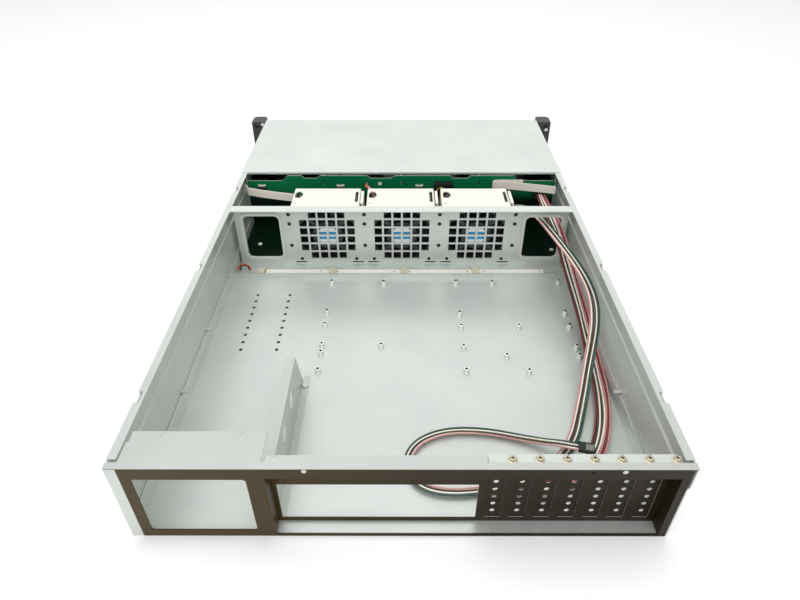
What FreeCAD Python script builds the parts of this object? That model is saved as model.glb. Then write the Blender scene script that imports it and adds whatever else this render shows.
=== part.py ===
# Empty rackmount server case, two rack units high, with its rear cover taken off.
# X runs across the case, +Y points at the drive bays in front, +Z is up.
# The origin lies under the middle of the case. All lengths are millimetres.
import FreeCAD, Part
import Sketcher
import math
import os

Vector = FreeCAD.Vector
doc = FreeCAD.newDocument("ServerCase")
sheet = doc.addObject("Spreadsheet::Sheet", "Sizes")

# Driving sizes: alias, value, what it measures.
DRIVING_SIZES = [
    ("panel_width", 482.6, "width over the rack ears"),
    ("body_width", 435.0, "width over the side walls"),
    ("overall_height", 88.0, "two rack units less the gap to the next case"),
    ("overall_depth", 688.0, "rear face to the fronts of the trays"),
    ("steel", 1.2, "thickness of the folded sheets"),
    ("play", 0.3, "clearance between loose neighbours"),
    ("wall_flange", 7.0, "width of the side walls' top flange"),
    ("wall_step", 1.5, "inward step of the side walls"),
    ("step_level", 63.0, "height of that step"),
    ("step_rise", 2.0, "height that the step takes"),
    ("wall_return", 8.7, "rear return of the left side wall"),
    ("flange_start", 8.0, "rear face to the start of the top flanges"),
    ("notch_length", 12.6, "length of a notch in the top flange"),
    ("notch_reach", 4.0, "width of that notch"),
    ("hook_length", 4.0, "length of a wall hook"),
    ("hook_reach", 6.8, "reach of a wall hook over the pan lip"),
    ("pan_lip", 20.0, "height of the floor pan's side lips"),
    ("pan_lip_end", 470.0, "rear face to the end of those lips"),
    ("rib_place", 356.0, "rear face to the raised rib of the pan"),
    ("rib_height", 5.8, "height of that rib over the pan"),
    ("vent_pitch", 12.4, "pitch of the floor vents"),
    ("vent_radius", 2.0, "radius of a floor vent"),
    ("vent_row_gap", 39.8, "distance between the two vent rows"),
    ("vent_row_x", -177.5, "place of the outer vent row"),
    ("vent_start", 220.3, "rear face to the first vents"),
    ("rear_flange", 5.5, "width of the rear panel's top flange"),
    ("recess_depth", 13.0, "rear face to the recessed panel"),
    ("recess_left", -100.5, "left end of the recess"),
    ("recess_right", 208.5, "right end of the recess"),
    ("recess_top", 76.0, "top of the recess window"),
    ("io_left", -97.3, "left edge of the port aperture"),
    ("io_width", 158.75, "width of the port aperture"),
    ("io_height", 44.5, "height of the port aperture"),
    ("io_sill", 6.0, "height of the aperture's sill"),
    ("shelf_drop", 3.3, "drop of the slot shelf under the top flange"),
    ("shelf_left", 64.0, "left end of the slot shelf"),
    ("slot_first", 74.7, "place of the first slot"),
    ("slot_pitch", 20.32, "pitch of the expansion slots"),
    ("slot_width", 13.0, "width of a slot opening"),
    ("slot_top", 80.0, "top of a slot opening"),
    ("cover_width", 18.4, "width of a slot cover"),
    ("cover_gauge", 0.9, "thickness of a slot cover"),
    ("cover_vent", 2.1, "radius of a slot cover's vents"),
    ("cover_vent_pitch", 9.6, "pitch of those vents"),
    ("cover_vent_top", 62.4, "height of the top vent"),
    ("slot_screw_offset", 8.5, "slot centre to its screw"),
    ("slot_screw_place", 10.2, "rear face to the slot screws"),
    ("psu_open_left", -200.5, "left edge of the power supply opening"),
    ("psu_open_right", -115.0, "right edge of that opening"),
    ("psu_open_sill", 8.0, "sill of that opening"),
    ("psu_open_top", 74.5, "top of that opening"),
    ("psu_plate_right", -103.0, "right edge of the power supply's top plate"),
    ("psu_plate_end", 34.3, "rear face to the front edge of that plate"),
    ("psu_side", -102.3, "right face of the power supply's side bracket"),
    ("psu_side_height", 53.0, "height of that bracket"),
    ("psu_side_end", 174.0, "rear face to the bracket's front end"),
    ("psu_side_slope", 20.0, "slope of that end"),
    ("psu_hole_radius", 8.5, "radius of the bracket's cable holes"),
    ("psu_hole_pitch", 39.5, "distance between those holes"),
    ("psu_hole_place", 78.0, "rear face to the first of them"),
    ("psu_hole_level", 33.0, "height of those holes"),
    ("foot_width", 7.0, "width of the bracket's foot"),
    ("foot_screw_place", 164.5, "rear face to the screw in that foot"),
    ("fan_plane", 388.4, "rear face to the front side of the fan wall"),
    ("fan_wall_width", 421.0, "width of the fan wall"),
    ("fan_flange", 14.0, "width of the fan wall's top flange"),
    ("fan_foot", 12.4, "width of the fan wall's foot"),
    ("fan_pitch", 95.4, "distance between the fans"),
    ("fan_middle", 1.1, "place of the middle fan"),
    ("fan_level", 43.8, "height of the fans' axes"),
    ("grille_level", 45.6, "height of the grilles' middles"),
    ("cell", 9.6, "side of a grille cell"),
    ("cell_pitch", 12.1, "pitch of the grille cells"),
    ("window_radius", 8.0, "corner radius of the cable windows"),
    ("trim_grip", 2.6, "reach of the window trim on the sheet"),
    ("trim_edge", 1.2, "thickness of the trim's edge"),
    ("fan_side", 80.0, "side of a fan frame"),
    ("fan_depth", 38.0, "depth of a fan"),
    ("fan_bore", 37.6, "radius of a fan's duct"),
    ("fan_hub", 19.0, "radius of a fan's hub"),
    ("fan_gap", 0.8, "gap between blade tips and duct"),
    ("fan_shaft", 2.0, "radius of a fan's shaft"),
    ("case_wall", 1.4, "wall of a fan case"),
    ("case_depth", 50.0, "depth of a fan case"),
    ("case_left", 45.0, "fan axis to the left side of its case"),
    ("case_right", 41.8, "fan axis to the right side of its case"),
    ("case_top", 86.0, "top of a fan case"),
    ("board_plane", 480.0, "rear face to the backplane board"),
    ("board_gauge", 1.6, "thickness of that board"),
    ("board_half", 212.0, "half the board's length"),
    ("board_low", 8.0, "lower edge of the board"),
    ("board_top", 84.0, "top of the board's humps"),
    ("board_dip", 80.0, "top of the board between its humps"),
    ("board_end", 76.4, "top of the board at its ends"),
    ("bay_pitch", 107.0, "distance between the drive columns"),
    ("bay_rise", 26.8, "distance between the drive rows"),
    ("bay_floor", 3.4, "height of the lowest tray guides"),
    ("guide_reach", 3.0, "reach of a tray guide"),
    ("cage_start", 482.0, "rear face to the cage"),
    ("cage_drop", 12.2, "fronts of the trays to the cage's front edge"),
    ("cage_top", 86.6, "top of the drive cage"),
    ("divider", 1.2, "thickness of a cage divider"),
    ("tray_start", 500.0, "rear face to a tray's rear end"),
    ("tray_inside", 102.2, "clear width of a tray"),
    ("tray_rail", 1.3, "thickness of a tray's side rail"),
    ("tray_rail_height", 12.0, "height of that rail"),
    ("bezel_gap", 0.6, "gap between neighbouring tray fronts"),
    ("lever_depth", 3.7, "thickness of a tray's lever"),
    ("lever_height", 13.0, "height of a tray's lever"),
    ("lever_length", 92.0, "length of a tray's lever"),
    ("pin_radius", 1.1, "radius of a lever's pin"),
    ("cover_start", 482.2, "rear face to the front cover"),
    ("cover_drop", 17.0, "fronts of the trays to the cover's front edge"),
    ("cover_skirt", 10.0, "depth of the cover's skirts"),
    ("ear_depth", 25.0, "depth of a rack ear"),
    ("ear_round", 7.0, "radius of an ear's front edges"),
    ("rack_span", 465.1, "distance across the rack holes"),
    ("rack_rise", 76.2, "distance between the rack holes of an ear"),
    ("rack_slot", 10.4, "length of a rack slot"),
    ("rack_slot_radius", 3.3, "half the height of a rack slot"),
    ("button_radius", 4.0, "radius of the power button"),
    ("reset_radius", 2.0, "radius of the reset button"),
    ("button_travel", 1.2, "travel of both buttons"),
    ("button_level", 60.0, "height of the power button"),
    ("reset_level", 44.0, "height of the reset button"),
    ("standoff_radius", 3.2, "radius of a board standoff"),
    ("standoff_height", 5.2, "height of a board standoff"),
    ("standoff_bore", 1.3, "radius of a standoff's thread"),
    ("screw_radius", 3.2, "radius of a screw head"),
    ("screw_head", 1.6, "height of a screw head"),
    ("screw_shank", 1.5, "radius of a screw's shank"),
    ("slot_screw_radius", 3.8, "radius of a slot screw's head"),
    ("slot_screw_head", 2.4, "height of that head"),
    ("screw_length", 4.0, "length of a screw's shank"),
    ("ear_screw", 2.6, "radius of the screws in the backs of the ears"),
    ("flat_screw", 2.6, "radius of the flush screws in the top plate"),
    ("face_screw", 2.0, "radius of the flush screws in the rear face"),
    ("strip_left", -175.0, "left end of the cable strip"),
    ("strip_right", 184.0, "right end of the cable strip"),
    ("strip_start", 361.0, "rear face to the cable strip"),
    ("strip_width", 8.0, "width of the cable strip"),
    ("strip_height", 3.6, "height of the cable strip"),
    ("clip_first", -181.0, "place of the first strip clip"),
    ("clip_pitch", 92.4, "distance between the strip clips"),
    ("clip_width", 9.0, "width of a strip clip"),
    ("signal_width", 6.6, "width of the signal lead"),
    ("power_width", 11.0, "width of the wide lead"),
    ("ribbon_height", 11.0, "width of a flat cable, which stands on its edge"),
]
for row, (alias, value, meaning) in enumerate(DRIVING_SIZES, start=1):
    sheet.set("A%d" % row, meaning)
    sheet.set("B%d" % row, str(value))
    sheet.setAlias("B%d" % row, alias)
doc.recompute()


class Size:
    """A length that carries both its value and the formula that gives it."""

    def __init__(self, value, formula):
        self.value = value
        self.formula = formula

    def __add__(self, other):
        other = as_size(other)
        return Size(self.value + other.value, "(%s + %s)" % (self.formula, other.formula))

    def __sub__(self, other):
        other = as_size(other)
        return Size(self.value - other.value, "(%s - %s)" % (self.formula, other.formula))

    def __mul__(self, other):
        other = as_size(other)
        return Size(self.value * other.value, "(%s * %s)" % (self.formula, other.formula))

    def __truediv__(self, other):
        other = as_size(other)
        return Size(self.value / other.value, "(%s / %s)" % (self.formula, other.formula))

    def __neg__(self):
        return Size(-self.value, "(0 - %s)" % self.formula)

    def __radd__(self, other):
        return as_size(other) + self

    def __rsub__(self, other):
        return as_size(other) - self

    def __rmul__(self, other):
        return as_size(other) * self


def as_size(number):
    """Give a plain number its formula; a Size passes through."""
    if isinstance(number, Size):
        return number
    return Size(float(number), "(%s)" % repr(float(number)))


class SizeTable:
    """The sheet's sizes, read by name."""

    def __getattr__(self, alias):
        return Size(float(sheet.get(alias)), "Sizes.%s" % alias)


S = SizeTable()
half_body = S.body_width / 2
rear = -S.overall_depth / 2
front = S.overall_depth / 2
cage_front = front - S.cage_drop
top = S.overall_height
under_top = S.overall_height - S.steel
wall_inner = half_body - S.wall_step - S.steel
pan_outer = wall_inner - S.play
pan_inner = pan_outer - S.steel


def from_rear(distance):
    """The Y of a point that lies this far in front of the rear face."""
    return rear + distance


# Primitives whose sizes and places stay bound to the sheet.
def bind(thing, property_name, size):
    """Set a property to a size and keep it bound to the size's formula."""
    thing.setExpression(property_name, as_size(size).formula)


def place(thing, x, y, z):
    """Bind a thing's place to three sizes."""
    for axis, size in zip("xyz", (x, y, z)):
        bind(thing, "Placement.Base." + axis, size)


def box(name, x_range, y_range, z_range):
    """A box between two sizes on each axis."""
    block = doc.addObject("Part::Box", name)
    for side, (low, high) in zip(("Length", "Width", "Height"), (x_range, y_range, z_range)):
        bind(block, side, as_size(high) - low)
    place(block, x_range[0], y_range[0], z_range[0])
    return block


AXIS_TURNS = {
    "X": FreeCAD.Rotation(Vector(0, 1, 0), 90),
    "Y": FreeCAD.Rotation(Vector(1, 0, 0), -90),
    "Z": FreeCAD.Rotation(),
}


def rod(name, axis, start, radius, length):
    """A cylinder that grows from a point along +X, +Y or +Z."""
    cylinder = doc.addObject("Part::Cylinder", name)
    cylinder.Placement = FreeCAD.Placement(Vector(), AXIS_TURNS[axis])
    bind(cylinder, "Radius", radius)
    bind(cylinder, "Height", length)
    place(cylinder, *start)
    return cylinder


def fuse(name, pieces):
    """One solid from several that meet."""
    union = doc.addObject("Part::MultiFuse", name)
    union.Shapes = pieces
    union.Refine = True
    return union


def group(name, pieces):
    """Separate solids kept as one thing."""
    compound = doc.addObject("Part::Compound", name)
    compound.Links = pieces
    return compound


def cut(name, base, tools):
    """A solid less one or more others."""
    result = doc.addObject("Part::Cut", name)
    result.Base = base
    result.Tool = tools[0] if len(tools) == 1 else group(name + "_tools", tools)
    return result


# Bodies made from sketches, for what is folded from sheet or moulded.
# A plane's entry: the role of the origin plane, and the sense of its normal on its own axis.
PLANES = {"XY": ("XY_Plane", 1), "XZ": ("XZ_Plane", -1), "YZ": ("YZ_Plane", 1)}


def body(label):
    """An empty body with the label of its sub-part."""
    new_body = doc.addObject("PartDesign::Body", label)
    new_body.Label = label
    return new_body


def origin_feature(owner, role):
    """The body's own origin plane or axis of that role."""
    return [item for item in owner.Origin.OriginFeatures if item.Role == role][0]


def sketch_on(owner, plane, level):
    """A sketch on one of the body's planes, moved to a level along the plane's axis."""
    role, sense = PLANES[plane]
    sketch = owner.newObject("Sketcher::SketchObject", owner.Label + "_sketch")
    sketch.AttachmentSupport = [(origin_feature(owner, role), "")]
    sketch.MapMode = "FlatFace"
    bind(sketch, "AttachmentOffset.Base.z", as_size(level) * sense)
    return sketch


def pin_point(sketch, edge, end, point):
    """Tie a sketch point to its two sizes."""
    for kind, size in (("DistanceX", as_size(point[0])), ("DistanceY", as_size(point[1]))):
        index = sketch.addConstraint(Sketcher.Constraint(kind, -1, 1, edge, end, size.value))
        sketch.setExpression("Constraints[%d]" % index, size.formula)


def draw_outline(sketch, points):
    """A closed outline of straight edges through points given by sizes."""
    first = sketch.GeometryCount
    count = len(points)
    corners = [Vector(as_size(x).value, as_size(y).value, 0) for x, y in points]
    for index in range(count):
        sketch.addGeometry(Part.LineSegment(corners[index], corners[(index + 1) % count]))
    for index in range(count):
        following = first + (index + 1) % count
        sketch.addConstraint(Sketcher.Constraint("Coincident", first + index, 2, following, 1))
        pin_point(sketch, first + index, 1, points[index])


def draw_circle(sketch, centre, radius):
    """A circle by its centre and radius."""
    middle = Vector(as_size(centre[0]).value, as_size(centre[1]).value, 0)
    size = as_size(radius)
    edge = sketch.addGeometry(Part.Circle(middle, Vector(0, 0, 1), size.value))
    pin_point(sketch, edge, 3, centre)
    index = sketch.addConstraint(Sketcher.Constraint("Radius", edge, size.value))
    sketch.setExpression("Constraints[%d]" % index, size.formula)


def draw_rounded(sketch, x_range, y_range, radius):
    """A rectangle with round corners, as four tangent lines and arcs."""
    x0, x1 = (as_size(size).value for size in x_range)
    y0, y1 = (as_size(size).value for size in y_range)
    r = as_size(radius).value
    first = sketch.GeometryCount
    quarter = math.pi / 2
    sides = [((x0 + r, y0), (x1 - r, y0)), ((x1, y0 + r), (x1, y1 - r)),
             ((x1 - r, y1), (x0 + r, y1)), ((x0, y1 - r), (x0, y0 + r))]
    centres = [(x1 - r, y0 + r), (x1 - r, y1 - r), (x0 + r, y1 - r), (x0 + r, y0 + r)]
    for index in range(4):
        start, end = sides[index]
        sketch.addGeometry(Part.LineSegment(Vector(*start, 0), Vector(*end, 0)))
        circle = Part.Circle(Vector(*centres[index], 0), Vector(0, 0, 1), r)
        turn = (index - 1) * quarter
        sketch.addGeometry(Part.ArcOfCircle(circle, turn, turn + quarter))
    for index in range(4):
        line = first + 2 * index
        following = first + (2 * index + 2) % 8
        sketch.addConstraint(Sketcher.Constraint("Tangent", line, 2, line + 1, 1))
        sketch.addConstraint(Sketcher.Constraint("Tangent", line + 1, 2, following, 1))
        if index:
            sketch.addConstraint(Sketcher.Constraint("Equal", first + 1, line + 1))
    sketch.addConstraint(Sketcher.Constraint("Horizontal", first))
    sketch.addConstraint(Sketcher.Constraint("Vertical", first + 2))
    levels = [("DistanceY", first, y_range[0]), ("DistanceX", first + 2, x_range[1]),
              ("DistanceY", first + 4, y_range[1]), ("DistanceX", first + 6, x_range[0])]
    for kind, edge, size in levels:
        size = as_size(size)
        index = sketch.addConstraint(Sketcher.Constraint(kind, -1, 1, edge, 1, size.value))
        sketch.setExpression("Constraints[%d]" % index, size.formula)
    index = sketch.addConstraint(Sketcher.Constraint("Radius", first + 1, r))
    sketch.setExpression("Constraints[%d]" % index, as_size(radius).formula)


def draw_slot(sketch, x_range, level, radius):
    """A slot with round ends, lying along the sketch's X."""
    r = as_size(radius).value
    ends = (as_size(x_range[0]) + radius, as_size(x_range[1]) - radius)
    x0, x1 = (size.value for size in ends)
    z = as_size(level).value
    quarter = math.pi / 2
    first = sketch.addGeometry(Part.LineSegment(Vector(x0, z - r, 0), Vector(x1, z - r, 0)))
    right = Part.Circle(Vector(x1, z, 0), Vector(0, 0, 1), r)
    sketch.addGeometry(Part.ArcOfCircle(right, -quarter, quarter))
    sketch.addGeometry(Part.LineSegment(Vector(x1, z + r, 0), Vector(x0, z + r, 0)))
    left = Part.Circle(Vector(x0, z, 0), Vector(0, 0, 1), r)
    sketch.addGeometry(Part.ArcOfCircle(left, quarter, 3 * quarter))
    for index in range(4):
        following = first + (index + 1) % 4
        sketch.addConstraint(Sketcher.Constraint("Tangent", first + index, 2, following, 1))
    sketch.addConstraint(Sketcher.Constraint("Equal", first + 1, first + 3))
    pin_point(sketch, first + 1, 3, (ends[1], level))
    pin_point(sketch, first + 3, 3, (ends[0], level))
    index = sketch.addConstraint(Sketcher.Constraint("Radius", first + 1, r))
    sketch.setExpression("Constraints[%d]" % index, as_size(radius).formula)


def pad(owner, plane, draw, low, high):
    """Add what draw puts in a sketch, between two levels on the plane's axis."""
    sketch = sketch_on(owner, plane, low)
    draw(sketch)
    feature = owner.newObject("PartDesign::Pad", owner.Label + "_pad")
    feature.Profile = sketch
    feature.Reversed = PLANES[plane][1] < 0
    bind(feature, "Length", as_size(high) - low)
    return feature


def pocket(owner, plane, draw, low, high):
    """Cut what draw puts in a sketch, between two levels on the plane's axis."""
    level = high if PLANES[plane][1] > 0 else low
    sketch = sketch_on(owner, plane, level)
    draw(sketch)
    feature = owner.newObject("PartDesign::Pocket", owner.Label + "_pocket")
    feature.Profile = sketch
    bind(feature, "Length", as_size(high) - low)
    return feature


def repeat(owner, feature, steps):
    """Repeat a feature along the body's axes; each step is an axis, a pitch and a count."""
    grid = owner.newObject("PartDesign::MultiTransform", owner.Label + "_grid")
    grid.Originals = [feature]
    rows = []
    for axis, pitch, count in steps:
        line = owner.newObject("PartDesign::LinearPattern", owner.Label + "_row")
        line.Direction = (origin_feature(owner, axis + "_Axis"), [""])
        bind(line, "Length", as_size(pitch) * (count - 1))
        line.Occurrences = count
        rows.append(line)
    grid.Transformations = rows
    owner.Tip = grid
    return grid


def outline(points):
    """A drawing function for an outline."""
    return lambda sketch: draw_outline(sketch, points)


def rectangle(x_range, y_range):
    """A drawing function for a rectangle."""
    corners = [(x_range[0], y_range[0]), (x_range[1], y_range[0]),
               (x_range[1], y_range[1]), (x_range[0], y_range[1])]
    return outline(corners)


def circles(centres, radius):
    """A drawing function for like circles."""
    def draw(sketch):
        for centre in centres:
            draw_circle(sketch, centre, radius)
    return draw


def rounded(x_range, y_range, radius):
    """A drawing function for a rectangle with round corners."""
    return lambda sketch: draw_rounded(sketch, x_range, y_range, radius)


def around(centre, width):
    """The two sizes half a width to each side of a centre."""
    return (as_size(centre) - as_size(width) / 2, as_size(centre) + as_size(width) / 2)


def in_order(first, second):
    """Two sizes, the smaller one first."""
    return (first, second) if first.value < second.value else (second, first)


# Sheet metal of the case.
def floor_pan():
    pan = body("floor_pan")
    section = [(-pan_outer, 0), (pan_outer, 0), (pan_outer, S.pan_lip), (pan_inner, S.pan_lip),
               (pan_inner, S.steel), (-pan_inner, S.steel), (-pan_inner, S.pan_lip),
               (-pan_outer, S.pan_lip)]
    pan_end = cage_front
    pad(pan, "XZ", outline(section), from_rear(S.steel), pan_end)
    for side in (-1, 1):
        lip = in_order(side * pan_inner, side * pan_outer)
        pocket(pan, "XY", rectangle(lip, (from_rear(S.pan_lip_end), pan_end)),
               S.steel, S.pan_lip)
    rib = (from_rear(S.rib_place), from_rear(S.rib_place + S.steel))
    pad(pan, "XY", rectangle((-pan_inner, pan_inner), rib), S.steel, S.steel + S.rib_height)
    vent = pocket(pan, "XY", circles([(S.vent_row_x, from_rear(S.vent_start))], S.vent_radius),
                  0, S.steel)
    repeat(pan, vent, [("Y", S.vent_pitch, 9), ("X", S.vent_row_gap, 2)])


WALL_NOTCHES = (63.6, 249.2, 427.0)
WALL_HOOKS = (138.5, 231.0, 334.0)


def side_wall(label, side):
    wall = body(label)
    mirror = lambda points: [(side * as_size(x), z) for x, z in points]
    lower_outer = half_body - S.wall_step
    upper_inner = half_body - S.steel
    step_end = S.step_level + S.step_rise
    section = [(lower_outer, 0), (lower_outer, S.step_level), (half_body, step_end),
               (half_body, top), (half_body - S.wall_flange, top),
               (half_body - S.wall_flange, under_top), (upper_inner, under_top),
               (upper_inner, step_end), (wall_inner, S.step_level), (wall_inner, 0)]
    pad(wall, "XZ", outline(mirror(section)), rear, cage_front)
    edge = half_body + 1
    across = in_order(side * edge, side * (half_body - S.wall_flange - 1))
    pocket(wall, "XZ", rectangle(across, (under_top - S.play, top)), rear,
           from_rear(S.flange_start))
    pocket(wall, "XZ", rectangle(across, (under_top - S.play, top)),
           from_rear(S.cover_start - 1), cage_front)
    notch = in_order(side * edge, side * (half_body - S.notch_reach))
    for start in WALL_NOTCHES:
        pocket(wall, "XY", rectangle(notch, (from_rear(start), from_rear(start + S.notch_length))),
               top - S.notch_reach, top)
    hook = in_order(side * wall_inner, side * (wall_inner - S.hook_reach))
    for middle in WALL_HOOKS:
        pad(wall, "XY", rectangle(hook, around(from_rear(middle), S.hook_length)),
            S.pan_lip + 1, S.pan_lip + 1 + S.steel)
    if side < 0:
        back = (-half_body, -half_body + S.wall_return)
        pad(wall, "XZ", rectangle(back, (0, under_top - S.play)), rear, from_rear(S.steel))


def slot_x(index):
    """The middle of an expansion slot, counted from the port aperture."""
    return S.slot_first + S.slot_pitch * index


SLOT_COUNT = 7
io_right = S.io_left + S.io_width
shelf_top = top - S.shelf_drop


def rear_panel():
    panel = body("rear_panel")
    face_left = -half_body + S.wall_return + S.play
    face_right = wall_inner - S.play
    pad(panel, "XZ", rectangle((face_left, face_right), (0, top)), rear, from_rear(S.steel))
    shelf_cut = S.recess_depth - 1
    flange = [(-half_body, 0), (half_body, 0), (half_body, S.rear_flange),
              (S.shelf_left, S.rear_flange), (S.shelf_left, shelf_cut), (-100.0, shelf_cut),
              (-100.0, 6), (S.psu_plate_right, 6), (S.psu_plate_right, S.psu_plate_end),
              (-206.8, S.psu_plate_end), (-206.8, 24.1), (-208.6, 24.1),
              (-208.6, S.rear_flange), (-half_body, S.rear_flange)]
    pad(panel, "XY", outline([(x, from_rear(y)) for x, y in flange]), under_top, top)
    pocket(panel, "XZ", rectangle((S.recess_left, S.recess_right), (S.steel * 2, S.recess_top)),
           rear, from_rear(S.steel))
    pocket(panel, "XZ", rounded((S.psu_open_left, S.psu_open_right),
                                (S.psu_open_sill, S.psu_open_top), 3),
           rear, from_rear(S.steel))
    back = (from_rear(S.recess_depth), from_rear(S.recess_depth + S.steel))
    wide = (S.recess_left - S.steel, S.recess_right + S.steel)
    pad(panel, "XZ", rectangle(wide, (S.steel, S.slot_top + 2)), *back)
    for low, high in ((wide[0], S.recess_left), (S.recess_right, wide[1])):
        pad(panel, "YZ", rectangle((rear, back[1]), (S.steel, S.slot_top + 2)), low, high)
    pad(panel, "XY", rectangle((S.shelf_left, wide[1]), (rear, back[1])),
        shelf_top - S.steel, shelf_top)
    pad(panel, "XZ", rectangle((S.shelf_left, wide[1]), (S.slot_top, shelf_top)), *back)
    pocket(panel, "XZ", rectangle((S.io_left, io_right), (S.io_sill, S.io_sill + S.io_height)),
           *back)
    slot = pocket(panel, "XZ", rectangle(around(slot_x(0), S.slot_width), (S.io_sill, S.slot_top)),
                  *back)
    repeat(panel, slot, [("X", S.slot_pitch, SLOT_COUNT)])
    hole = pocket(panel, "XY", circles([(slot_x(0) + S.slot_screw_offset,
                                         from_rear(S.slot_screw_place))],
                                       S.screw_shank + 0.1),
                  shelf_top - S.steel, shelf_top)
    repeat(panel, hole, [("X", S.slot_pitch, SLOT_COUNT)])
    holes = [(x, from_rear(y)) for x, y in PLATE_SCREWS]
    pocket(panel, "XY", circles(holes, S.flat_screw + 0.1), under_top, top)
    pocket(panel, "XZ", circles(FACE_SCREWS, S.face_screw + 0.1), rear, from_rear(S.steel))
    pocket(panel, "XZ", circles([(141.2, 83.8)], 1.2), rear, from_rear(S.steel))


# Flush screws, in the top plate by X and the distance from the rear face, and in the face by X and Z.
PLATE_SCREWS = ((-181.8, 30.0), (-120.8, 30.0), (-93.2, 8.5))
FACE_SCREWS = ((-70.7, 84.6), (164.6, 84.1))


def slot_cover(index):
    """A slot cover: a vented strip inside the panel and a tab folded back over the shelf."""
    middle = slot_x(index)
    inner = S.recess_depth + S.steel
    outer = inner + S.cover_gauge
    name = "slot_cover_%d" % (index + 1)
    strip = box(name + "_strip", around(middle, S.cover_width),
                (from_rear(inner), from_rear(outer)), (S.steel + 1, shelf_top + S.cover_gauge))
    tab = box(name + "_tab", around(middle + 0.4, S.cover_width + 0.8),
              (from_rear(6.3), from_rear(outer)), (shelf_top, shelf_top + S.cover_gauge))
    blank = fuse(name + "_blank", [strip, tab])
    tools = [rod(name + "_screw_hole", "Z", (middle + S.slot_screw_offset,
                                             from_rear(S.slot_screw_place), shelf_top - 1),
                 S.screw_shank + 0.1, 3)]
    for row in range(6):
        level = S.cover_vent_top - S.cover_vent_pitch * row
        tools.append(rod("%s_vent_%d" % (name, row + 1), "Y",
                         (middle, from_rear(inner - 1), level), S.cover_vent, 3))
    return cut(name, blank, tools)


def screw(name, x, y, seat):
    """A pan-head screw that stands in a hole, its head on the seat."""
    head = rod(name + "_head", "Z", (x, y, seat), S.slot_screw_radius, S.slot_screw_head)
    shank = rod(name + "_shank", "Z", (x, y, seat - S.screw_length), S.screw_shank, S.screw_length)
    return fuse(name, [head, shank])


def psu_bracket():
    bracket = body("psu_bracket")
    inner = S.psu_side - S.steel
    near = S.recess_depth + 3
    slope_end = S.psu_side_end - S.psu_side_slope
    side = [(near, S.steel), (S.psu_side_end, S.steel), (slope_end, S.psu_side_height),
            (near, S.psu_side_height)]
    pad(bracket, "YZ", outline([(from_rear(y), z) for y, z in side]), inner, S.psu_side)
    foot = [(inner, near), (S.psu_side + S.foot_width, near),
            (S.psu_side + S.foot_width, S.psu_side_end + 4), (S.psu_side + 3, S.psu_side_end + 6),
            (inner, S.psu_side_end)]
    pad(bracket, "XY", outline([(x, from_rear(y)) for x, y in foot]), S.steel, S.steel * 2)
    pad(bracket, "XY", rectangle((inner - 8, inner), (from_rear(near), from_rear(slope_end))),
        S.psu_side_height - S.steel, S.psu_side_height)
    hole = pocket(bracket, "YZ", circles([(from_rear(S.psu_hole_place), S.psu_hole_level)],
                                         S.psu_hole_radius), inner, S.psu_side)
    repeat(bracket, hole, [("Y", S.psu_hole_pitch, 2)])
    pocket(bracket, "XY", circles([(S.psu_side + 3.6, from_rear(S.foot_screw_place))],
                                  S.screw_shank + 0.1), S.steel, S.steel * 2)


def front_cover():
    cover = body("front_cover")
    skirt_in = half_body + S.play
    skirt_out = skirt_in + S.steel
    section = [(-skirt_out, top), (-skirt_out, top - S.cover_skirt), (-skirt_in, top - S.cover_skirt),
               (-skirt_in, under_top), (skirt_in, under_top), (skirt_in, top - S.cover_skirt),
               (skirt_out, top - S.cover_skirt), (skirt_out, top)]
    pad(cover, "XZ", outline(section), from_rear(S.cover_start), front - S.cover_drop)
    for low, high in ((-182.6, -171.6), (173.5, 184.2)):
        pocket(cover, "XY", rectangle((low, high), (from_rear(S.cover_start),
                                                    from_rear(S.cover_start + 1.6))),
               under_top, top)


def fan_x(index):
    """The axis of a fan: 0 left, 1 middle, 2 right."""
    return S.fan_middle + S.fan_pitch * (index - 1)


fan_face = S.fan_plane - S.steel
CABLE_WINDOWS = {"left": ((-201.5, -153.2), (10.6, 76.0)), "right": ((156.2, 204.6), (10.6, 74.6))}


def grille(wall, sheet_range):
    """The three finger grilles: cross-shaped openings with bars left between the cells."""
    middle = fan_x(0)
    level = S.grille_level
    wide = S.cell_pitch * 2.5 + S.cell / 2
    narrow = wide - S.cell_pitch
    cross = [(-1, 0), (0, 0), (0, -1), (1, -1), (1, 0), (2, 0),
             (2, 1), (1, 1), (1, 2), (0, 2), (0, 1), (-1, 1)]
    across = {-1: middle - wide, 0: middle - narrow, 1: middle + narrow, 2: middle + wide}
    upward = {-1: level - wide, 0: level - narrow, 1: level + narrow, 2: level + wide}
    opening = pocket(wall, "XZ", outline([(across[x], upward[z]) for x, z in cross]), *sheet_range)
    repeat(wall, opening, [("X", S.fan_pitch, 3)])
    bar = S.cell_pitch - S.cell
    upright = pad(wall, "XZ", rectangle(around(middle - S.cell_pitch * 2, bar),
                                        (level - wide, level + wide)), *sheet_range)
    repeat(wall, upright, [("X", S.cell_pitch, 5), ("X", S.fan_pitch, 3)])
    level_bar = pad(wall, "XZ", rectangle((middle - wide, middle + wide),
                                          around(level - S.cell_pitch * 2, bar)), *sheet_range)
    repeat(wall, level_bar, [("Z", S.cell_pitch, 5), ("X", S.fan_pitch, 3)])


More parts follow.
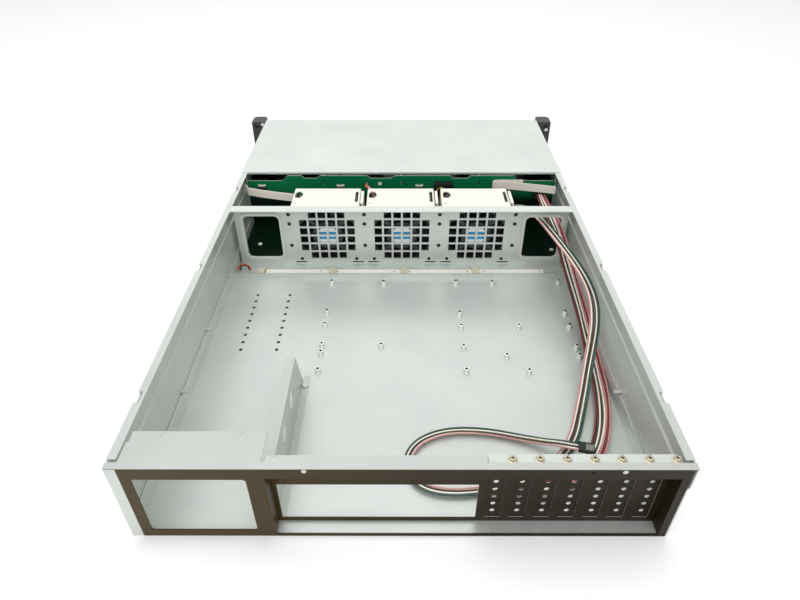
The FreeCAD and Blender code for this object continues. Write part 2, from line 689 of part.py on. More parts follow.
def fan_wall():
    wall = body("fan_wall")
    half = S.fan_wall_width / 2
    section = [(S.fan_plane, S.steel), (S.fan_plane, top), (S.fan_plane - S.fan_flange, top),
               (S.fan_plane - S.fan_flange, under_top), (fan_face, under_top),
               (fan_face, S.steel * 2), (S.fan_plane - S.fan_foot, S.steel * 2),
               (S.fan_plane - S.fan_foot, S.steel)]
    pad(wall, "YZ", outline([(from_rear(y), z) for y, z in section]), -half, half)
    sheet_range = (from_rear(fan_face), from_rear(S.fan_plane))
    for x_range, z_range in CABLE_WINDOWS.values():
        pocket(wall, "XZ", rounded(x_range, z_range, S.window_radius), *sheet_range)
    post = fan_x(0) - S.fan_pitch / 2
    holes = pocket(wall, "XZ", circles([(post, 76.4), (post, 62.8), (post, 30.6)], 2.6),
                   *sheet_range)
    repeat(wall, holes, [("X", S.fan_pitch, 4)])
    for reach in (-36.3, 35.8):
        low_hole = pocket(wall, "XZ", circles([(fan_x(0) + reach, 9.6)], 2.3), *sheet_range)
        repeat(wall, low_hole, [("X", S.fan_pitch, 3)])
    for reach in (-45.0, 30.4):
        foot_slot = pocket(wall, "XZ", rectangle((fan_x(0) + reach, fan_x(0) + reach + 14.6),
                                                 (3.9, 5.8)), *sheet_range)
        repeat(wall, foot_slot, [("X", S.fan_pitch, 3)])
    grille(wall, sheet_range)


def window_trim(side):
    """An edge trim that grips the sheet round a cable window."""
    x_range, z_range = CABLE_WINDOWS[side]
    trim = body("window_trim_" + side)
    outer = lambda reach: rounded((as_size(x_range[0]) - reach, as_size(x_range[1]) + reach),
                                  (as_size(z_range[0]) - reach, as_size(z_range[1]) + reach),
                                  S.window_radius + reach)
    cheek = S.trim_edge
    near = from_rear(fan_face - cheek - 0.1)
    far = from_rear(S.fan_plane + cheek + 0.1)
    pad(trim, "XZ", outer(S.trim_grip), near, far)
    pocket(trim, "XZ", outer(as_size(-0.1) - S.trim_edge), near, far)

    def groove(sketch):
        outer(S.trim_grip + 1)(sketch)
        outer(as_size(-0.1))(sketch)

    pocket(trim, "XZ", groove, from_rear(fan_face - 0.1), from_rear(S.fan_plane + 0.1))
    return trim


def window_trims():
    return group("window_trims", [window_trim("left"), window_trim("right")])


# The fans: a case that clips into the chassis, a frame with the motor, and a rotor.
def clone(label, original, dx, dz=0):
    """A copy of a body at another place."""
    copy = doc.addObject("PartDesign::Body", label)
    copy.Label = label
    base = copy.newObject("PartDesign::FeatureBase", label + "_copy")
    base.BaseFeature = original
    copy.Tip = base
    place(copy, dx, 0, dz)
    return copy


def fan_case():
    case = body("fan_case_1")
    middle = fan_x(0)
    left = middle - S.case_left
    right = middle + S.case_right
    near = from_rear(S.fan_plane + S.play)
    far = near + S.case_depth
    low = S.steel + S.play
    pad(case, "XZ", rounded((left, right), (low, S.case_top), 2), near, far)
    pocket(case, "XZ", rounded((left + S.case_wall, right - S.case_wall),
                               (low + S.case_wall, S.case_top - S.case_wall), 1), near, far)
    lid = (S.case_top - S.case_wall, S.case_top)
    thumb = [(left + 2.5, near + 26), (left + 9, near + 24), (left + 13, near + 31),
             (left + 11, near + 40), (left + 6, near + 43), (left + 2.5, near + 38)]
    pocket(case, "XY", outline(thumb), *lid)
    pocket(case, "XY", rectangle((left + 2.5, left + 6), (near + 9, near + 11)), *lid)
    pocket(case, "XY", rectangle((right - 6.5, right - 2.5), (near + 14, near + 42)), *lid)
    arm = [(right, 60), (right + 4.2, 60), (right + 4.2, S.case_top), (right + 0.8, S.case_top),
           (right + 0.8, S.case_top - 1.4), (right + 2.6, S.case_top - 1.4), (right + 2.6, 61.6),
           (right, 61.6)]
    pad(case, "XZ", outline(arm), near + 11.3, near + 43.3)
    return case


def fan_frame():
    frame = body("fan_frame_1")
    middle = fan_x(0)
    level = S.fan_level
    near = from_rear(S.fan_plane + S.play + 1.3)
    far = near + S.fan_depth
    pad(frame, "XZ", rounded(around(middle, S.fan_side), around(level, S.fan_side), 4), near, far)
    pocket(frame, "XZ", circles([(middle, level)], S.fan_bore), near, far)
    corner = S.fan_side / 2 - 4.25
    screw_hole = pocket(frame, "XZ", circles([(middle - corner, level - corner)], 2.2), near, far)
    repeat(frame, screw_hole, [("X", corner * 2, 2), ("Z", corner * 2, 2)])
    waist = [(-1, 0), (1, 0), (0, -1), (0, 1)]
    for across, upward in waist:
        x = middle + (S.fan_side / 2 + 3) * across
        z = level + (S.fan_side / 2 + 3) * upward
        size = (10, 46) if across else (46, 10)
        pocket(frame, "XZ", rounded(around(x, size[0]), around(z, size[1]), 2), near + 5, far - 5)
    stator_end = near + 6
    reach = S.fan_bore * 0.72
    bar = 2.0
    for lean in (-1, 1):
        spoke = [(middle - reach - bar, level - (reach - bar) * lean),
                 (middle - reach + bar, level - (reach + bar) * lean),
                 (middle + reach + bar, level + (reach - bar) * lean),
                 (middle + reach - bar, level + (reach + bar) * lean)]
        pad(frame, "XZ", outline(spoke), near, near + 4)
    pad(frame, "XZ", circles([(middle, level)], S.fan_hub + 0.5), near, stator_end)
    pocket(frame, "XZ", circles([(middle, level)], S.fan_shaft + 0.1), near + 1, stator_end)
    return frame


BLADE_COUNT = 7


def fan_rotor():
    """The turning part: hub, shaft and twisted blades, made about the origin's Y axis."""
    rotor = body("fan_rotor_1")
    near = from_rear(S.fan_plane + S.play + 1.3)
    hub_start = near + 7
    hub_end = near + S.fan_depth - 3
    pad(rotor, "XZ", circles([(0, 0)], S.fan_hub), hub_start, hub_end)
    pad(rotor, "XZ", circles([(0, 0)], S.fan_shaft), near + 1.5, hub_start)
    middle = hub_start + (S.fan_depth - 10) / 2
    stations = [(S.fan_hub - 2, 11.0, 8.5), (S.fan_hub + 8, 11.0, 11.5), (S.fan_bore + 1, 9.5, 15.0)]
    sections = []
    for distance, half_depth, half_chord in stations:
        section = sketch_on(rotor, "YZ", distance)
        bow = half_chord * 0.28
        draw_outline(section, [(middle - half_depth, -half_chord),
                               (middle + bow - 1.1, 0.0),
                               (middle + half_depth, half_chord - 1.6),
                               (middle + half_depth, half_chord),
                               (middle + bow - 3.3, 1.6),
                               (middle - half_depth, 1.6 - half_chord)])
        sections.append(section)
    blade = rotor.newObject("PartDesign::AdditiveLoft", "fan_rotor_blade")
    blade.Profile = sections[0]
    blade.Sections = sections[1:]
    blade.Ruled = True
    circle = rotor.newObject("PartDesign::PolarPattern", "fan_rotor_blades")
    circle.Originals = [blade]
    circle.Axis = (origin_feature(rotor, "Y_Axis"), [""])
    circle.Angle = 360
    circle.Occurrences = BLADE_COUNT
    rotor.Tip = circle

    def tip_ring(sketch):
        draw_circle(sketch, (0, 0), S.fan_bore - S.fan_gap)
        draw_circle(sketch, (0, 0), S.fan_side)

    pocket(rotor, "XZ", tip_ring, near, near + S.fan_depth)
    place(rotor, fan_x(0), 0, S.fan_level)
    return rotor


def fans():
    case = fan_case()
    frame = fan_frame()
    rotor = fan_rotor()
    for index in (1, 2):
        step = S.fan_pitch * index
        clone("fan_case_%d" % (index + 1), case, step)
        clone("fan_frame_%d" % (index + 1), frame, step)
        clone("fan_rotor_%d" % (index + 1), rotor, fan_x(0) + step, S.fan_level)


# What lies in the middle of the case.
def guide_strip():
    strip = body("guide_strip")
    low = S.steel + S.play
    start = from_rear(S.strip_start)
    end = start + S.strip_width
    high = low + S.strip_height
    channel = [(start, low), (start + 1.2, low), (start + 1.2, high - 1.2), (end - 1.2, high - 1.2),
               (end - 1.2, low), (end, low), (end, high), (start, high)]
    pad(strip, "YZ", outline(channel), S.strip_left, S.strip_right)
    for x in STRIP_SLOTS:
        pocket(strip, "XY", rectangle(around(x, 1.6), (start + 2, end - 2)), high - 1.2, high)


STRIP_SLOTS = (-103.0, -82.6, -8.6, 11.2, 86.0, 106.9, 179.3)


def strip_clips():
    """Four clips that bridge the cable strip."""
    low = S.steel + S.play
    near = from_rear(S.strip_start) - 0.4
    far = near + S.strip_width + 0.8
    roof = low + S.strip_height + 0.3
    section = [(near - 1.3, low), (near, low), (near, roof), (far, roof), (far, low),
               (far + 1.3, low), (far + 1.3, roof + 1.2), (near - 1.3, roof + 1.2)]
    first = body("strip_clip_1")
    pad(first, "YZ", outline(section), *around(S.clip_first, S.clip_width))
    clips = [first]
    for index in (1, 2, 3):
        clips.append(clone("strip_clip_%d" % (index + 1), first, S.clip_pitch * index))
    return group("strip_clips", clips)


# Standoffs for the usual board sizes, in columns: X, then the distances from the rear face.
STANDOFFS = (
    (-88.0, (343.4, 284.3, 260.4, 226.1, 213.3, 185.92)),
    (-22.0, (342.4, 224.7)),
    (69.48, (343.4, 281.4, 257.5, 222.7, 185.92)),
    (115.3, (342.5, 208.5)),
    (135.8, (257.6, 185.1)),
    (194.8, (282.5, 258.4, 223.0, 208.9)),
    (199.6, (344.1,)),
)


def standoffs():
    posts = []
    for x, places in STANDOFFS:
        for distance in places:
            name = "standoff_%d" % (len(posts) + 1)
            foot = (x, from_rear(distance), S.steel)
            post = rod(name + "_post", "Z", foot, S.standoff_radius, S.standoff_height)
            bore = rod(name + "_bore", "Z", (x, from_rear(distance), S.steel + 2),
                       S.standoff_bore, S.standoff_height)
            posts.append(cut(name, post, [bore]))
    return group("standoffs", posts)


# The backplane and what is soldered to it.
def upright_board():
    board = body("upright_board")
    ridge = [(-156.0, -137.5), (-111.4, -46.8), (-9.1, 66.8), (96.0, 154.2)]
    top_line = [(-S.board_half, S.board_low), (S.board_half, S.board_low),
                (S.board_half, S.board_end), (160.0, S.board_end)]
    for left, right in reversed(ridge):
        top_line.append((right, S.board_top))
        top_line.append((left, S.board_top))
        if left > -150:
            top_line.append((left - 5.0, S.board_dip))
            before = [pair for pair in ridge if pair[1] < left][-1][1]
            top_line.append((before + 5.0, S.board_dip))
    top_line += [(-164.0, S.board_end), (-S.board_half, S.board_end)]
    sheet_range = (from_rear(S.board_plane), from_rear(S.board_plane + S.board_gauge))
    pad(board, "XZ", outline(top_line), *sheet_range)
    for x in (-107.4, 0.4, 108.0):
        pocket(board, "XZ", rectangle(around(x, 1.6), (70, 77)), *sheet_range)
    return board


def lower_board():
    """A flat board behind the fan wall, with a wing behind each cable window."""
    board = body("lower_board")
    outline_points = [(-S.board_half, S.board_plane), (-S.board_half, 392.0), (-142.0, 392.0),
                      (-142.0, 442.0), (144.5, 442.0), (144.5, 392.0), (S.board_half, 392.0),
                      (S.board_half, S.board_plane)]
    pad(board, "XY", outline([(x, from_rear(y)) for x, y in outline_points]), S.board_low,
        S.board_low + S.board_gauge)
    return board


def backplane_board():
    return group("backplane_board", [upright_board(), lower_board()])


def column_x(column):
    """The middle of a column of trays, 0 to 3 from the left."""
    return S.bay_pitch * (column - 1.5)


def row_z(row):
    """The level that a row of trays rests on."""
    return S.bay_floor + S.bay_rise * row


signal_header = (150.0, 50.0)
power_header = (192.0, 61.0)


def board_connectors():
    face = from_rear(S.board_plane)
    behind = face + S.board_gauge
    parts = [box("supply_block", (46.0, 71.0), (face - 10, face), (57.0, 76.0))]
    for index, x in enumerate((-193.0, -84.0, 25.0)):
        parts.append(box("data_port_%d" % (index + 1), around(x, 11.0), (face - 6, face),
                         (61.0, 68.5)))
    x, z = signal_header
    parts.append(box("signal_header", around(x, 11.0), (face - 7, face), around(z, 8.0)))
    x, z = power_header
    parts.append(box("power_header", around(x, 16.0), (face - 10, face), around(z, 14.0)))
    for column in range(4):
        for row in range(3):
            level = row_z(row) + 6.8
            parts.append(box("drive_socket_%d_%d" % (column + 1, row + 1),
                             around(column_x(column) - 8, 44.0), (behind, behind + 7),
                             (level, level + 5)))
    return group("board_connectors", parts)


# The drive cage, its trays and their levers.
def drive_cage():
    cage = body("drive_cage")
    half = wall_inner - 0.4
    low = S.steel + S.play
    depth = (from_rear(S.cage_start), cage_front)
    pad(cage, "XZ", rectangle((-half, half), (S.cage_top - S.steel, S.cage_top)), *depth)
    first = column_x(0) + S.bay_pitch / 2
    wall = pad(cage, "XZ", rectangle(around(first, S.divider), (low, S.cage_top - S.steel)), *depth)
    repeat(cage, wall, [("X", S.bay_pitch, 3)])
    ledge = (row_z(0) - 1, row_z(0))
    shelf = pad(cage, "XZ", rectangle(around(first, S.divider + S.guide_reach * 2), ledge), *depth)
    repeat(cage, shelf, [("X", S.bay_pitch, 3), ("Z", S.bay_rise, 3)])
    for side in (-1, 1):
        face = in_order(side * half, side * (half - S.steel))
        pad(cage, "XZ", rectangle(face, (low, S.cage_top - S.steel)), *depth)
        reach = in_order(side * half, side * (half - S.steel - S.guide_reach))
        side_shelf = pad(cage, "XZ", rectangle(reach, ledge), *depth)
        repeat(cage, side_shelf, [("Z", S.bay_rise, 3)])


def lever_x():
    """The pivot of the first tray's lever."""
    return column_x(0) - S.lever_length / 2


lever_middle = row_z(0) + S.bay_rise / 2
lever_plane = front - S.lever_depth / 2
bezel_face = front - S.lever_depth - 0.4


def tray():
    """The parts of a tray: a base with windows, two rails and a vented front with the pivot lugs."""
    middle = column_x(0)
    low = row_z(0) + 0.2
    half = S.tray_inside / 2
    outer = half + S.tray_rail
    start = from_rear(S.tray_start)
    end = cage_front + 0.5
    base = body("tray_base_1")
    pad(base, "XY", rectangle((middle - half, middle + half), (start, end)), low, low + 1.2)
    window = pocket(base, "XY", rounded((middle - half + 6, middle + half - 6),
                                        (start + 12, start + 54), 3), low, low + 1.2)
    repeat(base, window, [("Y", 55.0, 3)])
    rails = []
    for name, side in (("tray_rail_left_1", -1), ("tray_rail_right_1", 1)):
        rail = body(name)
        pad(rail, "YZ", outline([(start, low), (end, low), (end, low + S.tray_rail_height + 8),
                                 (end - 6, low + S.tray_rail_height),
                                 (start + 6, low + S.tray_rail_height),
                                 (start, low + S.tray_rail_height - 6)]),
            *in_order(middle + side * half, middle + side * outer))
        rails.append(rail)
    bezel = body("tray_front_1")
    width = around(middle, S.bay_pitch - S.bezel_gap)
    height = (row_z(0) + S.bezel_gap / 2, row_z(1) - S.bezel_gap / 2)
    pad(bezel, "XZ", rounded(width, height, 1.5), end, bezel_face)
    slot = pocket(bezel, "XZ", rounded((lever_x() + 6, lever_x() + 13),
                                       (lever_middle - 4, lever_middle + 4), 1.5),
                  end, bezel_face)
    repeat(bezel, slot, [("X", 9.2, 9)])
    gap = S.lever_height / 2 + 0.3
    for levels in ((lever_middle - gap - 2.6, lever_middle - gap),
                   (lever_middle + gap, lever_middle + gap + 2.6)):
        pad(bezel, "XY", rectangle(around(lever_x(), 7.0), (bezel_face - 0.5, front - 0.2)), *levels)
    pad(bezel, "XY", circles([(lever_x(), lever_plane)], S.pin_radius),
        lever_middle - gap - 1, lever_middle + gap + 1)
    return [base] + rails + [bezel]


def lever():
    """The handle that swings out of a tray's front about the lug pin."""
    handle = body("lever_1")
    low = lever_middle - S.lever_height / 2
    high = lever_middle + S.lever_height / 2
    near = lever_x() - S.lever_depth / 2
    pad(handle, "XY", rounded((near, near + S.lever_length), (front - S.lever_depth, front),
                              S.lever_depth / 2 - 0.05), low, high)
    pocket(handle, "XY", circles([(lever_x(), lever_plane)], S.pin_radius + 0.2), low, high)
    grip = near + S.lever_length
    pocket(handle, "XZ", rounded((grip - 20, grip - 5), (lever_middle - 4, lever_middle + 4), 2),
           front - S.lever_depth, front)
    pocket(handle, "XZ", rounded((near + 10, grip - 26), (lever_middle - 4.2, lever_middle + 4.2), 2),
           front - S.lever_depth, front - 1.4)
    return handle


def trays():
    first_tray = tray()
    group("tray_1", first_tray)
    first_lever = lever()
    number = 1
    for column in range(4):
        for row in range(3):
            if number > 1:
                step = (S.bay_pitch * column, S.bay_rise * row)
                group("tray_%d" % number, [
                    clone(part.Name[:-1] + str(number), part, *step) for part in first_tray])
                clone("lever_%d" % number, first_lever, *step)
            number += 1


# The rack ears, with the two buttons in the right one.
ear_middle = S.panel_width / 2 - 11.0
EAR_SCREWS = ((-224.0, 84.4), (235.1, 75.7))


def ear(label, side):
    block = body(label)
    outer = side * S.panel_width / 2
    inner = side * (half_body + 1.8)
    across = in_order(inner, outer)
    pad(block, "XY", rounded(across, (front - S.ear_depth * 2, front), S.ear_round), 0, top)
    beyond = (across[0] - 1, across[1] + 1)
    pocket(block, "XY", rectangle(beyond, (front - S.ear_depth * 2 - 1, front - S.ear_depth)), 0, top)
    flange = in_order(side * (half_body + 0.2), side * (half_body + 2.2))
    pad(block, "XY", rectangle(flange, (front - S.ear_depth * 2 + 2, front - 8)), 4, 76)
    slot_x_range = around(side * S.rack_span / 2, S.rack_slot)
    middle_level = top / 2
    for level in (middle_level - S.rack_rise / 2, middle_level + S.rack_rise / 2):
        pocket(block, "XZ", lambda sketch: draw_slot(sketch, slot_x_range, level,
                                                     S.rack_slot_radius),
               front - S.ear_depth, front)
    place_x, place_z = EAR_SCREWS[0] if side < 0 else EAR_SCREWS[1]
    pocket(block, "XZ", circles([(place_x, place_z)], S.ear_screw + 0.1),
           front - S.ear_depth, front - S.ear_depth + 3)
    if side > 0:
        pocket(block, "XZ", rounded(around(ear_middle, 13.0), (S.reset_level - 8, S.button_level + 8),
                                    3), front - 1.5, front)
        for level, radius in ((S.button_level, S.button_radius), (S.reset_level, S.reset_radius)):
            pocket(block, "XZ", circles([(ear_middle, level)], radius + 0.2), front - 14, front - 1.5)


def button(label, level, radius):
    """A push button in its hole, free to go in by its travel."""
    cap = body(label)
    pad(cap, "XZ", circles([(ear_middle, level)], radius), front - 14 + S.button_travel + 0.5,
        front - 0.4)


# Screws that hold the sheets together.
def flush_screw(name, x, y, radius):
    head = rod(name + "_head", "Z", (x, y, under_top), radius, 1.1)
    shank = rod(name + "_shank", "Z", (x, y, under_top - S.screw_length), S.screw_shank,
                S.screw_length)
    return fuse(name, [head, shank])


def case_screws():
    screws = []
    for index, (x, distance) in enumerate(PLATE_SCREWS):
        screws.append(flush_screw("plate_screw_%d" % (index + 1), x, from_rear(distance),
                                  S.flat_screw))
    for index, (x, z) in enumerate(FACE_SCREWS):
        screws.append(rod("face_screw_%d" % (index + 1), "Y", (x, rear + 0.05, z),
                           S.face_screw, S.steel - 0.1))
    for index, (x, z) in enumerate(EAR_SCREWS):
        screws.append(rod("ear_screw_%d" % (index + 1), "Y", (x, front - S.ear_depth - 0.8, z),
                          S.ear_screw, 3.5))
    seat = S.steel * 2
    spot = (S.psu_side + 3.6, from_rear(S.foot_screw_place))
    screws.append(fuse("foot_screw", [
        rod("foot_screw_head", "Z", (spot[0], spot[1], seat), S.screw_radius, S.screw_head),
        rod("foot_screw_shank", "Z", (spot[0], spot[1], S.steel + 0.1), S.screw_shank, S.steel)]))
    return group("case_screws", screws)


def slot_screws():
    seat = shelf_top + S.cover_gauge
    return group("slot_screws", [
        screw("slot_screw_%d" % (index + 1), slot_x(index) + S.slot_screw_offset,
              from_rear(S.slot_screw_place), seat) for index in range(SLOT_COUNT)])


def slot_covers():
    return group("slot_covers", [slot_cover(index) for index in range(SLOT_COUNT)])


# Flat cables by the backplane.
def ribbon(label, points, level):
    """A flat cable that stands on its edge, its outline seen from above."""
    cable = body(label)
    pad(cable, "XY", outline([(x, from_rear(y)) for x, y in points]), level,
        level + S.ribbon_height)


RIBBON_LEFT = ((-213.5, 467.5), (-206.6, 455.6), (-187.2, 448.8), (-164.1, 442.8),
               (-146.0, 438.7), (-139.3, 436.7), (-139.3, 437.8), (-145.8, 439.7),
               (-163.9, 443.8), (-186.8, 449.8), (-205.9, 456.4), (-212.6, 468.0))
RIBBON_RIGHT = ((209.0, 458.6), (195.0, 462.7), (178.0, 466.2), (161.0, 470.0), (143.0, 473.0),
                (131.0, 473.2), (125.6, 475.6), (129.0, 479.2), (136.0, 480.0), (168.0, 480.0),
                (168.0, 479.0), (136.3, 479.0), (129.9, 478.3), (127.2, 475.9), (131.4, 474.2),
                (143.1, 474.0), (161.2, 471.0), (178.2, 467.2), (195.2, 463.7), (209.3, 459.6))


# Leads: tubes along a route of straight runs and the arcs between them.
def route_wire(points, label):
    """The path through a route's points, with each arc as large as its two runs allow."""
    edges = []
    radii = []
    start = points[0]
    for before, corner, after in zip(points, points[1:], points[2:]):
        come = (corner - before).normalize()
        leave = (after - corner).normalize()
        turn = come.getAngle(leave)
        reach = 0.45 * min((corner - before).Length, (after - corner).Length)
        radius = reach / math.tan(turn / 2)
        inward = (leave - come).normalize()
        middle = corner + inward * (radius * (1 / math.cos(turn / 2) - 1))
        arc_start = corner - come * reach
        arc_end = corner + leave * reach
        edges.append(Part.LineSegment(start, arc_start).toShape())
        edges.append(Part.Arc(arc_start, middle, arc_end).toShape())
        radii.append(radius)
        start = arc_end
    edges.append(Part.LineSegment(start, points[-1]).toShape())
    print(label, "bend radii", " ".join("%.0f" % radius for radius in radii))
    return Part.Wire(edges)


def lead(label, route, width):
    """A round lead through points of X, distance from the rear face and Z."""
    points = [Vector(x, from_rear(y).value, z) for x, y, z in route]
    path = route_wire(points, label)
    circle = Part.Circle(points[0], points[1] - points[0], as_size(width).value / 2)
    tube = path.makePipeShell([Part.Wire([circle.toShape()])], True, True)
    feature = doc.addObject("Part::Feature", label)
    feature.Shape = tube
    feature.Placement = FreeCAD.Placement()
    return feature


SIGNAL_ROUTE = (
    (150.0, 473.0, 50.0), (150.0, 456.0, 50.0), (158.0, 441.0, 60.0), (169.0, 418.0, 66.0),
    (178.0, 388.0, 68.8), (186.0, 352.0, 69.2), (193.0, 320.0, 69.0), (200.0, 291.0, 67.0),
    (205.0, 262.0, 64.0), (206.5, 236.0, 59.5), (203.5, 212.0, 52.0), (197.0, 190.0, 41.0),
    (189.0, 168.0, 28.5), (181.0, 143.0, 14.5), (172.0, 119.0, 6.6), (163.5, 98.0, 4.9),
    (147.5, 74.0, 4.9), (122.0, 54.0, 4.9), (84.0, 41.0, 4.9), (46.0, 36.0, 4.9),
    (20.0, 41.0, 4.9), (6.0, 58.0, 4.9), (7.0, 79.0, 4.9), (20.5, 95.0, 4.9),
    (46.0, 104.5, 4.9), (80.0, 103.5, 4.9), (112.0, 95.8, 4.9), (131.0, 89.0, 8.0),
    (144.0, 83.0, 13.4), (153.6, 80.06, 14.2), (160.9, 78.5, 14.2),
)
POWER_ROUTE = (
    (192.0, 470.0, 61.0), (192.0, 450.0, 61.0), (193.5, 425.0, 62.0), (195.5, 402.0, 62.5),
    (197.0, 375.0, 59.5), (199.0, 350.0, 52.5), (201.0, 325.0, 43.5), (203.5, 298.0, 33.5),
    (206.0, 270.0, 24.0), (206.8, 245.0, 17.0), (206.5, 222.0, 12.2), (206.0, 198.0, 8.8),
    (204.5, 172.0, 7.0), (201.8, 148.0, 7.0), (197.0, 123.0, 7.0), (189.4, 99.8, 7.0),
    (180.5, 80.5, 7.0), (167.0, 63.0, 7.0), (149.5, 49.5, 7.0), (133.0, 42.0, 7.0),
    (117.0, 37.8, 7.0),
)
FAN_LEAD_LOOPS = (
    ((-37.0, 428.0, 73.0), (-37.0, 436.0, 73.0), (-38.5, 441.0, 80.0), (-43.0, 447.0, 83.5),
     (-47.0, 457.0, 80.0), (-48.0, 467.0, 72.5), (-48.0, 480.0, 72.5)),
    ((58.0, 428.0, 73.0), (58.0, 436.0, 73.0), (57.0, 441.0, 80.0), (54.0, 447.0, 84.0),
     (51.5, 454.0, 79.5), (51.0, 460.0, 70.0), (51.0, 470.0, 70.0)),
    ((-211.0, 372.0, 1.2), (-211.0, 372.0, 5.0), (-209.2, 372.0, 9.0), (-204.3, 372.0, 10.8),
     (-199.4, 372.0, 9.0), (-197.6, 372.0, 5.0), (-197.6, 372.0, 1.2)),
)


def plug(label, tip, turn_degrees, size, bottom):
    """A block whose rear face's middle lies on the end of a lead, turned to run on from it."""
    block = doc.addObject("Part::Box", label)
    bind(block, "Length", size[0])
    bind(block, "Width", size[1])
    bind(block, "Height", size[2])
    turn = FreeCAD.Rotation(Vector(0, 0, 1), turn_degrees)
    corner = Vector(tip[0], from_rear(tip[1]).value, bottom) \
        - turn.multVec(Vector(0, size[1] / 2, 0))
    block.Placement = FreeCAD.Placement(corner, turn)
    return block


def leads():
    lead("signal_lead", SIGNAL_ROUTE, S.signal_width)
    lead("power_lead", POWER_ROUTE, S.power_width)
    loops = [lead("fan_lead_%d" % (index + 1), route, 2.4)
             for index, route in enumerate(FAN_LEAD_LOOPS)]
    group("fan_leads", loops)
    group("lead_plugs", [
        plug("signal_plug", SIGNAL_ROUTE[-1], -12.06, (14.0, 10.4, 3.0), 12.7),
        plug("power_plug", POWER_ROUTE[-1], 194.71, (16.0, 11.6, 10.4), 1.8)])


# All sub-parts, the checks and the files.
floor_pan()
side_wall("side_wall_left", -1)
side_wall("side_wall_right", 1)
rear_panel()
psu_bracket()
slot_covers()
slot_screws()
case_screws()
front_cover()
fan_wall()
window_trims()
fans()
guide_strip()
strip_clips()
standoffs()
backplane_board()
board_connectors()
drive_cage()
trays()
ear("ear_left", -1)
ear("ear_right", 1)
button("power_button", S.button_level, S.button_radius)
button("reset_button", S.reset_level, S.reset_radius)
ribbon("ribbon_left", RIBBON_LEFT, 67.2)
ribbon("ribbon_right", RIBBON_RIGHT, 67.2)
leads()

SUB_PARTS = [
    "floor_pan", "side_wall_left", "side_wall_right", "rear_panel", "psu_bracket",
    "slot_covers", "slot_screws", "case_screws", "front_cover", "fan_wall", "window_trims",
    "guide_strip", "strip_clips", "standoffs", "backplane_board", "board_connectors",
    "drive_cage", "ear_left", "ear_right", "power_button", "reset_button",
    "ribbon_left", "ribbon_right", "fan_leads", "signal_lead", "power_lead", "lead_plugs",
]
for piece in ("fan_case", "fan_frame", "fan_rotor"):
    SUB_PARTS += ["%s_%d" % (piece, number) for number in range(1, 4)]
for piece in ("tray", "lever"):
    SUB_PARTS += ["%s_%d" % (piece, number) for number in range(1, 13)]

doc.recompute()
for thing in doc.Objects:
    if "Invalid" in thing.State or "Error" in thing.State:
        raise RuntimeError("%s did not compute: %s" % (thing.Name, thing.State))
os.makedirs("parts", exist_ok=True)
for name in SUB_PARTS:
    sub_part = doc.getObject(name)
    shape = sub_part.Shape
    if shape.isNull() or not shape.isValid() or not shape.Solids:
        raise RuntimeError("%s has no sound solid" % name)
    shape.exportStep("parts/%s.step" % name)
print(len(SUB_PARTS), "sub-parts written")
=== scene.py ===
"""Empty rackmount server case with its rear cover off: the looks of its pieces and the studio."""
import math

import bmesh
import bpy
import numpy as np
from mathutils import Euler, Matrix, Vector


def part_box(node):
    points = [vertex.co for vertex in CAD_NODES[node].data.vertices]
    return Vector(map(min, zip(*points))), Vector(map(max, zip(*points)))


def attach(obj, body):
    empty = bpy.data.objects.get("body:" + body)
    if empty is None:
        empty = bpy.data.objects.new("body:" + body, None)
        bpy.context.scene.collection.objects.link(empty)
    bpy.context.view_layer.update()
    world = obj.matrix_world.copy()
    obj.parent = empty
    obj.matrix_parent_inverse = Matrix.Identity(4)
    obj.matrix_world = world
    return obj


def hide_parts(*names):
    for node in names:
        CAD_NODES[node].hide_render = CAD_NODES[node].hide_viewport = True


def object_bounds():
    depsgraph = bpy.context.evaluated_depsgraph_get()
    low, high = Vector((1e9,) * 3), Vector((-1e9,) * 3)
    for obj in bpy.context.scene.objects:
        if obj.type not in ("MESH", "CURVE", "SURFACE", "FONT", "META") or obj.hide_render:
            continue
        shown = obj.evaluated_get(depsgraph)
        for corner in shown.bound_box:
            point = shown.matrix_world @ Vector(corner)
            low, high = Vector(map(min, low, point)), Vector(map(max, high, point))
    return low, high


bl_info = {
    "name": "Server case looks",
    "version": (1, 0, 0),
    "blender": (4, 5, 0),
    "location": "3D View > Sidebar > Server case",
    "description": "Finishes the sheets, fans, board, leads and trays of an open server case",
    "category": "Object",
}

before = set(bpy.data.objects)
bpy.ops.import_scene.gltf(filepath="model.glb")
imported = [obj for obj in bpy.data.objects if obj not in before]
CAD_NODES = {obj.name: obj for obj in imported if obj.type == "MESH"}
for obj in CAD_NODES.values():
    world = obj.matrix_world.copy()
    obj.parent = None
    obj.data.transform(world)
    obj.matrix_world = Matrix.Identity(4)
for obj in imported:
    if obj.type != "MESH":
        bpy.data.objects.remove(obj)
CAD_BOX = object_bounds()
REAR_FACE = CAD_BOX[0].y
MM = 0.001

# Values in capitals below are millimetres, and a distance is measured from the rear face.
STEEL = 1.2
SLOT_PITCH = 20.32
FIRST_SLOT = 83.2


def colour(code):
    """A web colour as linear red, green, blue and alpha."""
    channels = [int(code[place:place + 2], 16) / 255 for place in (1, 3, 5)]
    linear = [c / 12.92 if c <= 0.04045 else ((c + 0.055) / 1.055) ** 2.4 for c in channels]
    return (*linear, 1.0)


def from_rear(distance):
    """Y in metres of what lies this many millimetres in front of the rear face."""
    return REAR_FACE + distance * MM


def tint(name, description, code):
    """A colour setting with its default."""
    return bpy.props.FloatVectorProperty(name=name, description=description, subtype="COLOR",
                                         size=4, min=0.0, max=1.0, default=colour(code))


def length_setting(name, description, millimetres):
    """A length setting with its default, given in millimetres."""
    return bpy.props.FloatProperty(name=name, description=description, unit="LENGTH", min=0.0,
                                   precision=5, default=millimetres * MM)


